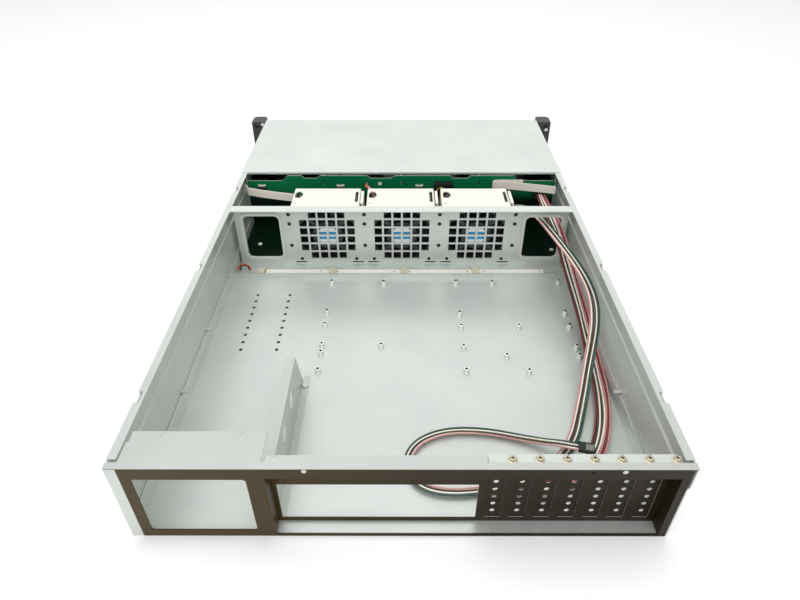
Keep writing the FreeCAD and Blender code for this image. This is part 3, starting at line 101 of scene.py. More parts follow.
class SheetSettings(bpy.types.PropertyGroup):
    zinc: tint("Zinc", "Colour of the galvanised sheet", "#DCE0DB")
    zinc_shade: tint("Zinc shade", "Darker patches of the galvanising", "#C6CCC8")
    # Painted shade: the dark brown of the rear faces stands in for their shade and dark reflection.
    rear_painted_shade: tint("Rear face", "Colour of the shade_painted rear face", "#463921")
    roughness: bpy.props.FloatProperty(name="Roughness", description="Roughness of the sheet",
                                       min=0.0, max=1.0, default=0.36)


class FanSettings(bpy.types.PropertyGroup):
    case_cream: tint("Case", "Colour of the fan cases", "#E5E2D7")
    frame_black: tint("Frame", "Colour of the fan frames and blades", "#17181A")
    motor_grey: tint("Motor", "Colour of the fan motors", "#2E2F33")
    label_white: tint("Label", "Colour of the round label on the motor", "#E9EEF0")
    label_blue: tint("Label bars", "Colour of the two bars on the label", "#2F93C4")
    label_radius: length_setting("Label radius", "Radius of the label on the motor", 13.5)
    trim_pale: tint("Trim", "Colour of the window edging", "#DFE2D8")
    tooth: length_setting("Tooth", "Pitch of the edging's teeth", 2.1)


class BoardSettings(bpy.types.PropertyGroup):
    mask: tint("Solder mask", "Colour of the backplane", "#0B6F46")
    trace: tint("Trace", "Colour of the copper under the mask", "#0E8552")
    ribbon_white: tint("Ribbon", "Colour of the flat cables", "#F7F1E6")
    connector_black: tint("Connector", "Colour of the sockets", "#15171A")
    cut_edge: tint("Cut edge", "Colour of the board's cut edge", "#A9BFA4")


class LeadSettings(bpy.types.PropertyGroup):
    signal_width: length_setting("Signal lead", "Width of the signal lead", 11.0)
    power_width: length_setting("Power lead", "Width of the wide lead", 15.4)
    cream: tint("Cream wire", "Colour of the pale wires", "#EFE6D6")
    rose: tint("Rose wire", "Colour of the pink wires", "#C28685")
    crimson: tint("Crimson wire", "Colour of the dark red wires", "#6E1A22")
    brown: tint("Brown wire", "Colour of the brown wires", "#2E2019")
    tan: tint("Tan wire", "Colour of the lighter brown wire", "#472C22")
    green: tint("Green wire", "Colour of the green wire", "#1B4034")
    orange: tint("Orange wire", "Colour of the fans' orange wires", "#C4622D")
    yellow: tint("Yellow wire", "Colour of the fans' yellow wires", "#D9B23A")
    black: tint("Black wire", "Colour of the black wires", "#1A1A1C")


class FrontSettings(bpy.types.PropertyGroup):
    ear_black: tint("Ears", "Colour of the rack ears", "#222220")
    tray_black: tint("Trays", "Colour of the drive trays", "#1B1C1F")
    lever_grey: tint("Levers", "Colour of the trays' levers", "#26282B")


class StudioSettings(bpy.types.PropertyGroup):
    lens: bpy.props.FloatProperty(name="Lens", description="Focal length on a 36 mm frame",
                                  min=10.0, max=200.0, default=27.053)
    pitch: bpy.props.FloatProperty(name="Pitch", description="Downward tilt of the camera",
                                   subtype="ANGLE", default=math.radians(36.534))
    backdrop: tint("Backdrop", "Colour of the floor and the surroundings", "#FFFFFF")
    key_power: bpy.props.FloatProperty(name="Key light", description="Power of the upper light",
                                       min=0.0, default=13.0)
    back_power: bpy.props.FloatProperty(name="Back light", description="Power of the far panel",
                                        min=0.0, default=11.5)
    fill_power: bpy.props.FloatProperty(name="Fill light", description="Power of the near light",
                                        min=0.0, default=9.0)


SETTINGS = {
    "case_sheet": SheetSettings,
    "case_fan": FanSettings,
    "case_board": BoardSettings,
    "case_lead": LeadSettings,
    "case_front": FrontSettings,
    "case_studio": StudioSettings,
}


# Node groups: each makes one effect and is placed with its own values.
def effect_group(name, inputs, outputs):
    """An empty node group with float inputs, and outputs given as name and socket type."""
    group = bpy.data.node_groups.new(name, "ShaderNodeTree")
    for label, default in inputs:
        socket = group.interface.new_socket(label, in_out="INPUT", socket_type="NodeSocketFloat")
        socket.default_value = default
    for label, kind in outputs:
        group.interface.new_socket(label, in_out="OUTPUT", socket_type=kind)
    return group, group.nodes.new("NodeGroupInput"), group.nodes.new("NodeGroupOutput")


def add_node(tree, kind, settings=None, sockets=None):
    """A node with its settings and socket values."""
    node = tree.nodes.new(kind)
    for key, value in (settings or {}).items():
        setattr(node, key, value)
    for key, value in (sockets or {}).items():
        if isinstance(value, bpy.types.NodeSocket):
            tree.links.new(value, node.inputs[key])
        else:
            node.inputs[key].default_value = value
    return node


def arithmetic(tree, operation, *values):
    """The output of a Math node fed with sockets or numbers."""
    return add_node(tree, "ShaderNodeMath", {"operation": operation},
                    dict(enumerate(values))).outputs[0]


def object_point(tree):
    """The output that gives a place in the object's own coordinates."""
    return add_node(tree, "ShaderNodeTexCoord").outputs["Object"]


def cloudiness_group():
    """Soft patches and fine grain, as rolled zinc shows them: a patch mask and a grain height."""
    group, given, result = effect_group(
        "zinc_cloud", [("Patch Scale", 18.0), ("Grain Scale", 1400.0), ("Contrast", 0.5)],
        [("Patch", "NodeSocketFloat"), ("Grain", "NodeSocketFloat")])
    point = object_point(group)
    cloud = add_node(group, "ShaderNodeTexNoise", None,
                     {"Vector": point, "Scale": given.outputs["Patch Scale"], "Detail": 3.0})
    spread = arithmetic(group, "SUBTRACT", cloud.outputs["Fac"], 0.5)
    patch = arithmetic(group, "MULTIPLY_ADD", spread, given.outputs["Contrast"], 0.5)
    grain = add_node(group, "ShaderNodeTexNoise", None,
                     {"Vector": point, "Scale": given.outputs["Grain Scale"], "Detail": 2.0})
    group.links.new(patch, result.inputs["Patch"])
    group.links.new(grain.outputs["Fac"], result.inputs["Grain"])
    return group


def moulded_group():
    """The fine pebbled skin of moulded plastic, as a height."""
    group, given, result = effect_group("moulded_skin", [("Scale", 900.0)],
                                        [("Height", "NodeSocketFloat")])
    pebble = add_node(group, "ShaderNodeTexVoronoi", None,
                      {"Vector": object_point(group), "Scale": given.outputs["Scale"]})
    group.links.new(pebble.outputs["Distance"], result.inputs["Height"])
    return group


def band_group():
    """One where a coordinate lies between two levels, with soft ends, and nought elsewhere."""
    group, given, result = effect_group("level_band", [("Value", 0.0), ("Low", 0.0), ("High", 1.0),
                                                       ("Soft", 0.001)],
                                        [("Mask", "NodeSocketFloat")])
    up = add_node(group, "ShaderNodeMapRange", {"interpolation_type": "SMOOTHSTEP"},
                  {"Value": given.outputs["Value"], "From Min": given.outputs["Low"],
                   "From Max": arithmetic(group, "ADD", given.outputs["Low"],
                                          given.outputs["Soft"])})
    down = add_node(group, "ShaderNodeMapRange", {"interpolation_type": "SMOOTHSTEP"},
                    {"Value": given.outputs["Value"],
                     "From Min": arithmetic(group, "SUBTRACT", given.outputs["High"],
                                            given.outputs["Soft"]),
                     "From Max": given.outputs["High"], "To Min": 1.0, "To Max": 0.0})
    mask = arithmetic(group, "MULTIPLY", up.outputs[0], down.outputs[0])
    group.links.new(mask, result.inputs["Mask"])
    return group


GROUP_MAKERS = {"zinc_cloud": cloudiness_group, "moulded_skin": moulded_group,
                "level_band": band_group}


def place_group(tree, name, sockets):
    """A group node, made once and shared."""
    group = bpy.data.node_groups.get(name) or GROUP_MAKERS[name]()
    return add_node(tree, "ShaderNodeGroup", {"node_tree": group}, sockets)


# Materials.
def new_material(name, **sockets):
    """A material with one Principled BSDF and the given socket values."""
    finish = bpy.data.materials.new(name)
    finish.use_nodes = True
    shader = finish.node_tree.nodes["Principled BSDF"]
    for key, value in sockets.items():
        shader.inputs[key.replace("_", " ")].default_value = value
    return finish, finish.node_tree, shader


def feed(tree, shader, socket, output):
    """Let an output drive one of the shader's sockets."""
    tree.links.new(output, shader.inputs[socket])


def toned(base, scale, lift=0.0):
    """A colour times a scale plus a lift, never brighter than white."""
    return tuple(min(1.0, channel * scale + lift) for channel in base[:3]) + (1.0,)


def blend_colours(tree, mask, first, second):
    """The colour between two, by a mask; a Mix node's colour sockets come sixth and seventh."""
    return add_node(tree, "ShaderNodeMix", {"data_type": "RGBA"},
                    {0: mask, 6: first, 7: second}).outputs[2]


def bump(tree, shader, height, strength, distance):
    """Tilt the shader's normals by a height."""
    node = add_node(tree, "ShaderNodeBump", None,
                    {"Height": height, "Strength": strength, "Distance": distance})
    feed(tree, shader, "Normal", node.outputs["Normal"])


def between(tree, value, low, high, soft=0.2 * MM):
    """The mask of what lies between two levels of a coordinate, with ends this soft."""
    return place_group(tree, "level_band", {"Value": value, "Low": low, "High": high,
                                            "Soft": soft}).outputs["Mask"]


def object_axes(tree, output="Object"):
    """X, Y and Z of the object's own coordinates, or of its own normals."""
    source = add_node(tree, "ShaderNodeTexCoord").outputs[output]
    return add_node(tree, "ShaderNodeSeparateXYZ", None, {"Vector": source}).outputs


# How deep and how high the faces with painted shade lie: the rear face, the recessed panel, the
# covers. Their dark brown stands in for the shade and dark reflection on them.
FACE_SHADE = (0.7, 87.4)
RECESS_SHADE = (13.6, 83.4)
COVER_SHADE = (14.8, 83.4)
SHADE_MARGIN = 4.0
SHADE_EDGE = 0.6


def painted_shade_mask(tree, ends):
    """The mask of the painted shade on the outer faces: for each depth and height in ends, what lies
    behind and below.
    """
    place = object_axes(tree)
    masks = [arithmetic(tree, "MULTIPLY",
                        between(tree, place["Y"], from_rear(-SHADE_MARGIN), from_rear(depth)),
                        between(tree, place["Z"], -SHADE_MARGIN * MM, height * MM,
                                SHADE_EDGE * MM))
             for depth, height in ends]
    total = masks[0]
    for mask in masks[1:]:
        total = arithmetic(tree, "MAXIMUM", total, mask)
    return total


DASH_BEFORE_SCREW = 8.5
DASH_NEAR, DASH_FAR, DASH_EDGE = 7.8, 8.7, 0.1
DASH_ROW = (70.0, 180.0)
DASH_SHELF = 80.0
DASH_SHARE = 0.069


def painted_slot_shadow_mask(tree):
    """Painted shadow of small slots in the rear shelf: black dashes, one to each slot pitch, a band
    across and along.

    The distance to the nearest slot's middle is in pitches, and DASH_SHARE is half a slot's length.
    """
    place = object_axes(tree)
    start = (FIRST_SLOT - DASH_BEFORE_SCREW - SLOT_PITCH / 2) * MM
    turns = arithmetic(tree, "DIVIDE", arithmetic(tree, "SUBTRACT", place["X"], start),
                       SLOT_PITCH * MM)
    offset = arithmetic(tree, "ABSOLUTE",
                        arithmetic(tree, "SUBTRACT", arithmetic(tree, "FRACT", turns), 0.5))
    across = arithmetic(tree, "LESS_THAN", offset, DASH_SHARE)
    along = between(tree, place["Y"], from_rear(DASH_NEAR), from_rear(DASH_FAR), DASH_EDGE * MM)
    row = between(tree, place["X"], DASH_ROW[0] * MM, DASH_ROW[1] * MM, MM)
    upper = arithmetic(tree, "GREATER_THAN", place["Z"], DASH_SHELF * MM)
    mask = arithmetic(tree, "MULTIPLY", across, along)
    return arithmetic(tree, "MULTIPLY", mask, arithmetic(tree, "MULTIPLY", row, upper))


SHADE_DEEPENS = (-200.0, 120.0)
DEEPEST_SHADE = 0.3


def painted_shade_colour(tree, settings):
    """The painted shade's dark brown, which deepens from the left end to the right one."""
    place = object_axes(tree)
    along = add_node(tree, "ShaderNodeMapRange", {"interpolation_type": "SMOOTHSTEP"},
                     {"Value": place["X"], "From Min": SHADE_DEEPENS[0] * MM,
                      "From Max": SHADE_DEEPENS[1] * MM})
    deep = toned(settings.rear_painted_shade, DEEPEST_SHADE)
    return blend_colours(tree, along.outputs[0], tuple(settings.rear_painted_shade), deep)


def zinc_material(settings, name, shaded_faces=(), dashed=False, painted_shade_tone=1.0):
    """Galvanised sheet: pale, softly clouded, with a faint grain; the rear's outer faces can get
    painted shade.
    """
    finish, tree, shader = new_material(name, Metallic=0.45, IOR=1.25 if shaded_faces else 1.5)
    cloud = place_group(tree, "zinc_cloud", {"Contrast": 0.8})
    # A tone under one is painted shade: the whole sheet is made darker for the lesser light on it.
    shade = blend_colours(tree, cloud.outputs["Patch"],
                          toned(settings.zinc, painted_shade_tone), toned(settings.zinc_shade, painted_shade_tone))
    rough = arithmetic(tree, "MULTIPLY_ADD", cloud.outputs["Patch"], 0.12,
                       settings.roughness - 0.06)
    # Painted shade: these faces turn dark brown and less metallic, standing in for the shade and
    # dark reflection on them.
    if shaded_faces:
        mask = painted_shade_mask(tree, shaded_faces)
        shade = blend_colours(tree, mask, shade, painted_shade_colour(tree, settings))
        feed(tree, shader, "Metallic", arithmetic(tree, "MULTIPLY_ADD", mask, -0.4, 0.45))
    if dashed:
        # Painted shadow: black dashes where the shelf's small slots lie in shade.
        shade = blend_colours(tree, painted_slot_shadow_mask(tree), shade, colour("#0B0B0A"))
    feed(tree, shader, "Base Color", shade)
    feed(tree, shader, "Roughness", rough)
    bump(tree, shader, cloud.outputs["Grain"], 0.05, 0.0002)
    return finish


def plastic_material(name, base, roughness, pebble=900.0, strength=0.12, coat=0.0):
    """Moulded plastic with a fine skin and slightly uneven gloss."""
    finish, tree, shader = new_material(name, Base_Color=tuple(base), Coat_Weight=coat)
    skin = place_group(tree, "moulded_skin", {"Scale": pebble})
    cloud = place_group(tree, "zinc_cloud", {"Patch Scale": 60.0, "Contrast": 0.6})
    lighter = toned(base, 1.18, 0.004)
    feed(tree, shader, "Base Color",
         blend_colours(tree, cloud.outputs["Patch"], tuple(base), lighter))
    feed(tree, shader, "Roughness",
         arithmetic(tree, "MULTIPLY_ADD", cloud.outputs["Patch"], 0.14, roughness - 0.07))
    bump(tree, shader, skin.outputs["Height"], strength, 0.0002)
    return finish


def plated_material(name, base, roughness, metal=0.9):
    """Bright plated metal, as on screws and standoffs."""
    finish, tree, shader = new_material(name, Metallic=metal)
    cloud = place_group(tree, "zinc_cloud", {"Patch Scale": 240.0, "Contrast": 0.9})
    darker = toned(base, 0.78)
    feed(tree, shader, "Base Color",
         blend_colours(tree, cloud.outputs["Patch"], tuple(base), darker))
    feed(tree, shader, "Roughness",
         arithmetic(tree, "MULTIPLY_ADD", cloud.outputs["Patch"], 0.15, roughness))
    bump(tree, shader, cloud.outputs["Grain"], 0.06, 0.0001)
    return finish


PRINTED_LINES = (458.0, 426.5)
PRINTED_WIDTH = 0.6
CUT_EDGE_ABOVE = 50.0
BOARD_SHADE_BAND = (45.0, 64.0)


def board_material(settings):
    """Solder mask over copper runs, with pale pads, pale cut edges and printed lines.

    It is painted darker from the upper height of its shade band to the lower one, as shade down in
    the closed front.
    """
    finish, tree, shader = new_material("board_mask", Specular_IOR_Level=0.12)
    place = object_axes(tree)
    flat = add_node(tree, "ShaderNodeCombineXYZ", None,
                    {"X": place["X"], "Y": arithmetic(tree, "ADD", place["Z"], place["Y"])})
    runs = add_node(tree, "ShaderNodeTexBrick", {"offset": 0.37, "squash": 0.6},
                    {"Vector": flat.outputs[0], "Scale": 42.0, "Mortar Size": 0.012, "Bias": 0.1,
                     "Brick Width": 2.6, "Row Height": 0.21,
                     "Color1": (0, 0, 0, 1), "Color2": (0.25, 0.25, 0.25, 1),
                     "Mortar": (1, 1, 1, 1)})
    dots = add_node(tree, "ShaderNodeTexVoronoi", {"feature": "F1"},
                    {"Vector": flat.outputs[0], "Scale": 130.0, "Randomness": 0.9})
    via = arithmetic(tree, "LESS_THAN", dots.outputs["Distance"], 0.07)
    mask = blend_colours(tree, runs.outputs["Fac"], tuple(settings.mask), tuple(settings.trace))
    marked = blend_colours(tree, via, mask, colour("#5F8F72"))
    printed = arithmetic(tree, "ADD", *[
        between(tree, place["Y"], from_rear(near), from_rear(near + PRINTED_WIDTH))
        for near in PRINTED_LINES])
    marked = blend_colours(tree, printed, marked, colour("#7FA58C"))
    normals = object_axes(tree, "Normal")
    rim = arithmetic(tree, "MULTIPLY", arithmetic(tree, "GREATER_THAN", normals["Z"], 0.6),
                     arithmetic(tree, "GREATER_THAN", place["Z"], CUT_EDGE_ABOVE * MM))
    marked = blend_colours(tree, rim, marked, tuple(settings.cut_edge))
    # Painted shade: the board turns almost black low down, where light doesn't reach it.
    depth = add_node(tree, "ShaderNodeMapRange", {"interpolation_type": "SMOOTHSTEP"},
                     {"Value": place["Z"], "From Min": BOARD_SHADE_BAND[0] * MM,
                      "From Max": BOARD_SHADE_BAND[1] * MM})
    shaded_board = blend_colours(tree, 0.95, marked, colour("#030806"))
    feed(tree, shader, "Base Color", blend_colours(tree, depth.outputs[0], shaded_board, marked))
    feed(tree, shader, "Roughness",
         arithmetic(tree, "MULTIPLY_ADD", runs.outputs["Fac"], 0.15, 0.32))
    bump(tree, shader, runs.outputs["Fac"], 0.3, 0.0001)
    return finish


def striped_plastic(name, base, line, pitch, roughness, along):
    """Plastic with fine even lines: the sine of a coordinate, turned into a soft line mask."""
    finish, tree, shader = new_material(name)
    place = object_axes(tree)
    value = place[along[0]]
    for axis in along[1:]:
        value = arithmetic(tree, "ADD", value, place[axis])
    wave = arithmetic(tree, "SINE", arithmetic(tree, "MULTIPLY", value, 2 * math.pi / pitch))
    mask = add_node(tree, "ShaderNodeMapRange", {"interpolation_type": "SMOOTHSTEP"},
                    {"Value": wave, "From Min": 0.2, "From Max": 0.9})
    cloud = place_group(tree, "zinc_cloud", {"Patch Scale": 60.0, "Contrast": 0.6})
    feed(tree, shader, "Base Color",
         blend_colours(tree, mask.outputs[0], tuple(base), tuple(line)))
    feed(tree, shader, "Roughness",
         arithmetic(tree, "MULTIPLY_ADD", cloud.outputs["Patch"], 0.14, roughness - 0.07))
    bump(tree, shader, mask.outputs[0], 0.5, 0.0003)
    return finish


def label_material(settings):
    """A white disc with two plain bars, placed by shares of the disc's width in its UV map."""
    finish, tree, shader = new_material("motor_label", Coat_Weight=0.2)
    spot = add_node(tree, "ShaderNodeUVMap", {"uv_map": "disc"})
    place = add_node(tree, "ShaderNodeSeparateXYZ", None, {"Vector": spot.outputs["UV"]}).outputs
    inside = between(tree, place["X"], 0.06, 0.94, 0.02)
    bars = arithmetic(tree, "ADD", between(tree, place["Y"], 0.29, 0.46, 0.02),
                      between(tree, place["Y"], 0.56, 0.73, 0.02))
    mask = arithmetic(tree, "MULTIPLY", inside, bars)
    feed(tree, shader, "Base Color",
         blend_colours(tree, mask, tuple(settings.label_white), tuple(settings.label_blue)))
    cloud = place_group(tree, "zinc_cloud", {"Patch Scale": 120.0, "Contrast": 0.6})
    feed(tree, shader, "Roughness", arithmetic(tree, "MULTIPLY_ADD", cloud.outputs["Patch"],
                                               0.1, 0.3))
    return finish


def wire_material(name, base):
    """Glossy wire jacket."""
    finish, tree, shader = new_material(name, Base_Color=tuple(base), Coat_Weight=0.3)
    cloud = place_group(tree, "zinc_cloud", {"Patch Scale": 90.0, "Contrast": 0.7})
    paler = toned(base, 1.25, 0.01)
    feed(tree, shader, "Base Color",
         blend_colours(tree, cloud.outputs["Patch"], tuple(base), paler))
    feed(tree, shader, "Roughness",
         arithmetic(tree, "MULTIPLY_ADD", cloud.outputs["Patch"], 0.1, 0.32))
    return finish


def dress(names, finish):
    """Give CAD nodes a material."""
    for name in names:
        mesh = CAD_NODES[name].data
        mesh.materials.clear()
        mesh.materials.append(finish)


# Meshes worked out with numpy.
def vertex_places(mesh):
    """The mesh's points, one row of X, Y and Z each."""
    places = np.empty(len(mesh.vertices) * 3)
    mesh.vertices.foreach_get("co", places)
    return places.reshape(-1, 3)


def grid_faces(rows, columns, close_columns=True, offset=0):
    """Quads between the points of a grid, row by row; columns may close on themselves."""
    row = np.arange(rows - 1)[:, None]
    span = columns if close_columns else columns - 1
    column = np.arange(span)[None, :]
    following = (column + 1) % columns
    quads = np.stack([row * columns + column, row * columns + following,
                      (row + 1) * columns + following, (row + 1) * columns + column], -1)
    return quads.reshape(-1, 4) + offset


def make_piece(name, points, faces, finishes, slots=None, smooth=True):
    """A mesh object from points in metres, faces, its materials and each face's slot."""
    mesh = bpy.data.meshes.new(name)
    mesh.from_pydata(np.asarray(points, float).tolist(), [], [list(face) for face in faces])
    for finish in finishes:
        mesh.materials.append(finish)
    if slots is not None:
        mesh.polygons.foreach_set("material_index", np.asarray(slots, np.int32))
    mesh.polygons.foreach_set("use_smooth", np.full(len(mesh.polygons), smooth))
    mesh.validate()
    mesh.update()
    piece = bpy.data.objects.new(name, mesh)
    bpy.context.scene.collection.objects.link(piece)
    return piece


HEXAGON_SCALE = 0.93


def turned(profile, foot, axis, around=32, lobes=None):
    """A turned surface: each profile radius and height, carried round the axis by cosine and sine.

    The first and last radius are nought, so the ends close. lobes gives rows whose radius is that
    of a regular hexagon: radius over the cosine of the angle from the middle of its side, scaled.
    """
    profile = np.asarray(profile, float) * MM
    angle = np.linspace(0, 2 * np.pi, around, endpoint=False)
    radius = np.repeat(profile[:, :1], around, axis=1)
    if lobes is not None:
        side = (angle + np.pi / 6) % (np.pi / 3) - np.pi / 6
        radius[lobes] = radius[lobes] / np.cos(side)[None, :] * HEXAGON_SCALE
    directions = {"Z": ((1, 0, 0), (0, 1, 0), (0, 0, 1)), "-Y": ((1, 0, 0), (0, 0, 1), (0, -1, 0))}
    across, upward, along = (np.array(way, float) for way in directions[axis])
    rings = (radius[..., None] * (np.cos(angle)[None, :, None] * across
                                  + np.sin(angle)[None, :, None] * upward)
             + profile[:, 1][:, None, None] * along)
    return rings.reshape(-1, 3) + np.asarray(foot, float), grid_faces(len(profile), around)


def at(x, distance, z):
    """The point at X, distance from the rear face and Z, all in millimetres."""
    return np.array([x * MM, from_rear(distance), z * MM])


def gather(name, parts, finishes, smooth=True, sharp=30):
    """One piece from several surfaces, each given as points, faces and a slot or slots."""
    points, faces, slots, start = [], [], [], 0
    for part_points, part_faces, slot in parts:
        points.append(part_points)
        faces.append(np.asarray(part_faces) + start)
        slots.append(np.broadcast_to(slot, len(part_faces)))
        start += len(part_points)
    piece = make_piece(name, np.concatenate(points), np.concatenate(faces), finishes,
                       np.concatenate(slots), smooth)
    shell = bmesh.new()
    shell.from_mesh(piece.data)
    bmesh.ops.remove_doubles(shell, verts=shell.verts, dist=0.000002)
    bmesh.ops.recalc_face_normals(shell, faces=shell.faces)
    shell.to_mesh(piece.data)
    shell.free()
    piece.data.set_sharp_from_angle(angle=math.radians(sharp))
    return piece


def cushioned_block(low, high, corner=0.18, power=8.0, columns=24):
    """A block with soft edges: a superellipse in X and Y, drawn in at both ends of its height.

    The outline has the sign of cosine and sine and their size raised to two over the power. A row
    near an end scales it by one less half the corner, an end's face by the inner share, and the
    closing points by nought.
    """
    inner, shoulder = 0.6, 0.9
    low, high = np.asarray(low, float), np.asarray(high, float)
    middle, half = (low + high) / 2, (high - low) / 2
    angle = np.linspace(0, 2 * np.pi, columns, endpoint=False)
    outline = np.stack([np.sign(np.cos(angle)) * np.abs(np.cos(angle)) ** (2 / power),
                        np.sign(np.sin(angle)) * np.abs(np.sin(angle)) ** (2 / power)], -1)
    height = np.array([-1, -1, -1, -shoulder, 0, shoulder, 1, 1, 1])
    edge = 1 - corner / 2
    scale = np.array([0, inner, edge, 1, 1, 1, edge, inner, 0])
    grid = np.empty((len(height), columns, 3))
    grid[..., :2] = outline[None] * scale[:, None, None] * half[:2] + middle[:2]
    grid[..., 2] = (height * half[2] + middle[2])[:, None]
    return grid.reshape(-1, 3), grid_faces(len(height), columns)


def spline_points(name, route, resolution=6):
    """The points of a smooth NURBS line whose control points are the route's."""
    line = bpy.data.curves.new(name + "_line", "CURVE")
    line.dimensions = "3D"
    line.resolution_u = resolution
    spline = line.splines.new("NURBS")
    spline.points.add(len(route) - 1)
    for point, (x, distance, z) in zip(spline.points, route):
        point.co = (x * MM, from_rear(distance), z * MM, 1.0)
    spline.order_u = 3
    spline.use_endpoint_u = True
    holder = bpy.data.objects.new(name + "_line", line)
    bpy.context.scene.collection.objects.link(holder)
    bpy.context.view_layer.update()
    sampled = bpy.data.meshes.new_from_object(holder)
    points = vertex_places(sampled)
    bpy.data.objects.remove(holder)
    bpy.data.meshes.remove(sampled)
    return points


def frames_along(points, side=None):
    """At each point, the two unit directions across the line.

    Without a side, the first one lies level: the cross product of the upright and the tangent.
    With a side, it starts there and turns as little as it can.
    """
    steps = np.gradient(points, axis=0)
    tangents = steps / np.linalg.norm(steps, axis=1, keepdims=True)
    if side is None:
        sides = np.cross((0.0, 0.0, 1.0), tangents)
        sides /= np.linalg.norm(sides, axis=1, keepdims=True)
        return sides, np.cross(tangents, sides)
    sides = np.empty_like(tangents)
    current = np.asarray(side, float)
    for index, tangent in enumerate(tangents):
        current = current - tangent * np.dot(current, tangent)
        current /= np.linalg.norm(current)
        sides[index] = current
    return sides, np.cross(sides, tangents)


def tube_rings(centres, sides, ups, radius, around=8):
    """A tube: at each centre, a ring of points at the radius, by cosine and sine."""
    angle = np.linspace(0, 2 * np.pi, around, endpoint=False)
    across = np.cos(angle)[None, :, None] * sides[:, None, :]
    along = np.sin(angle)[None, :, None] * ups[:, None, :]
    return (centres[:, None, :] + radius * (across + along)).reshape(-1, 3)


WIRE_SWAY = 0.25
WIRE_WAVES = 5
WIRE_CLIMB = 1.6


def wire_bundle(name, centreline, side, strands, finishes, spread):
    """Wires side by side along one line; each strand has offset, height, radius, phase and finish.

    A wire sways by a sine along its length, WIRE_WAVES times over, by a share of its radius. The
    spread gives fractions of the length and the scale of the offsets there, with straight lines
    between; where it is under one, every other wire rises, in proportion to what is lost.
    """
    sides, ups = frames_along(centreline, side)
    count = len(centreline)
    along = np.linspace(0, 1, count)
    swell = np.interp(along, *zip(*spread))
    points, faces, slots = [], [], []
    ring = 8
    for index, (offset, height, radius, phase, slot) in enumerate(strands):
        wander = WIRE_SWAY * radius * np.sin(2 * np.pi * (along * WIRE_WAVES + phase))
        shift = (offset * swell + wander)[:, None] * sides
        climb = (-1) ** index * (1 - swell) * radius * WIRE_CLIMB
        lift = (height + climb + WIRE_SWAY * wander)[:, None] * ups
        base = sum(len(block) for block in points)
        rings = tube_rings(centreline + shift + lift, sides, ups, radius, ring)
        points.append(rings)
        quads = grid_faces(count, ring, True, base)
        last = base + (count - 1) * ring
        faces += quads.tolist()
        faces += [list(range(base, base + ring))[::-1], list(range(last, last + ring))]
        slots += [slot] * (len(quads) + 2)
    return make_piece(name, np.concatenate(points), faces, finishes, slots)


SHEET_NODES = ("floor_pan", "front_cover", "fan_wall", "drive_cage")


class CASE_OT_sheets(bpy.types.Operator):
    """Finish the folded sheets in pale zinc, with painted shade on the outer faces of the rear"""

    bl_idname = "case.sheets"
    bl_label = "Sheets"

    def execute(self, context):
        settings = context.scene.case_sheet
        dress(SHEET_NODES, zinc_material(settings, "zinc_sheet"))
        # Darker copies of the zinc as painted shade: the side walls, the supply bracket and the rear
        # panel, for the lesser light that falls on them.
        dress(("side_wall_left", "side_wall_right"),
              zinc_material(settings, "zinc_walls", painted_shade_tone=0.92))
        dress(("psu_bracket",), zinc_material(settings, "zinc_bracket", painted_shade_tone=0.84))
        # The rear panel's and the covers' outer faces get painted shade in dark brown.
        dress(("rear_panel",), zinc_material(
            settings, "zinc_rear_panel", dashed=True, painted_shade_tone=0.84,
            shaded_faces=(FACE_SHADE, RECESS_SHADE)))
        dress(("slot_covers",),
              zinc_material(settings, "zinc_slot_covers", shaded_faces=(COVER_SHADE,)))
        return {"FINISHED"}


SLOT_SCREWS = tuple(FIRST_SLOT + SLOT_PITCH * index for index in range(7))
SCREW_ROW = 10.2
SCREW_HEIGHT = 2.4
WASHER_RADIUS = 3.8
CROSS_LENGTH, CROSS_WIDTH = 1.5, 0.36
POST_FOOT, POST_RADIUS, POST_HEIGHT = 3.2, 2.9, 5.2
BORE_RADIUS, THREAD_RADIUS, BORE_FLOOR = 1.5, 1.3, 2.0
# For each X, the distances of its standoffs from the rear face.
STANDOFFS = (
    (-88.0, (343.4, 284.3, 260.4, 226.1, 213.3, 185.92)), (-22.0, (342.4, 224.7)),
    (69.48, (343.4, 281.4, 257.5, 222.7, 185.92)), (115.3, (342.5, 208.5)),
    (135.8, (257.6, 185.1)), (194.8, (282.5, 258.4, 223.0, 208.9)), (199.6, (344.1,)),
)


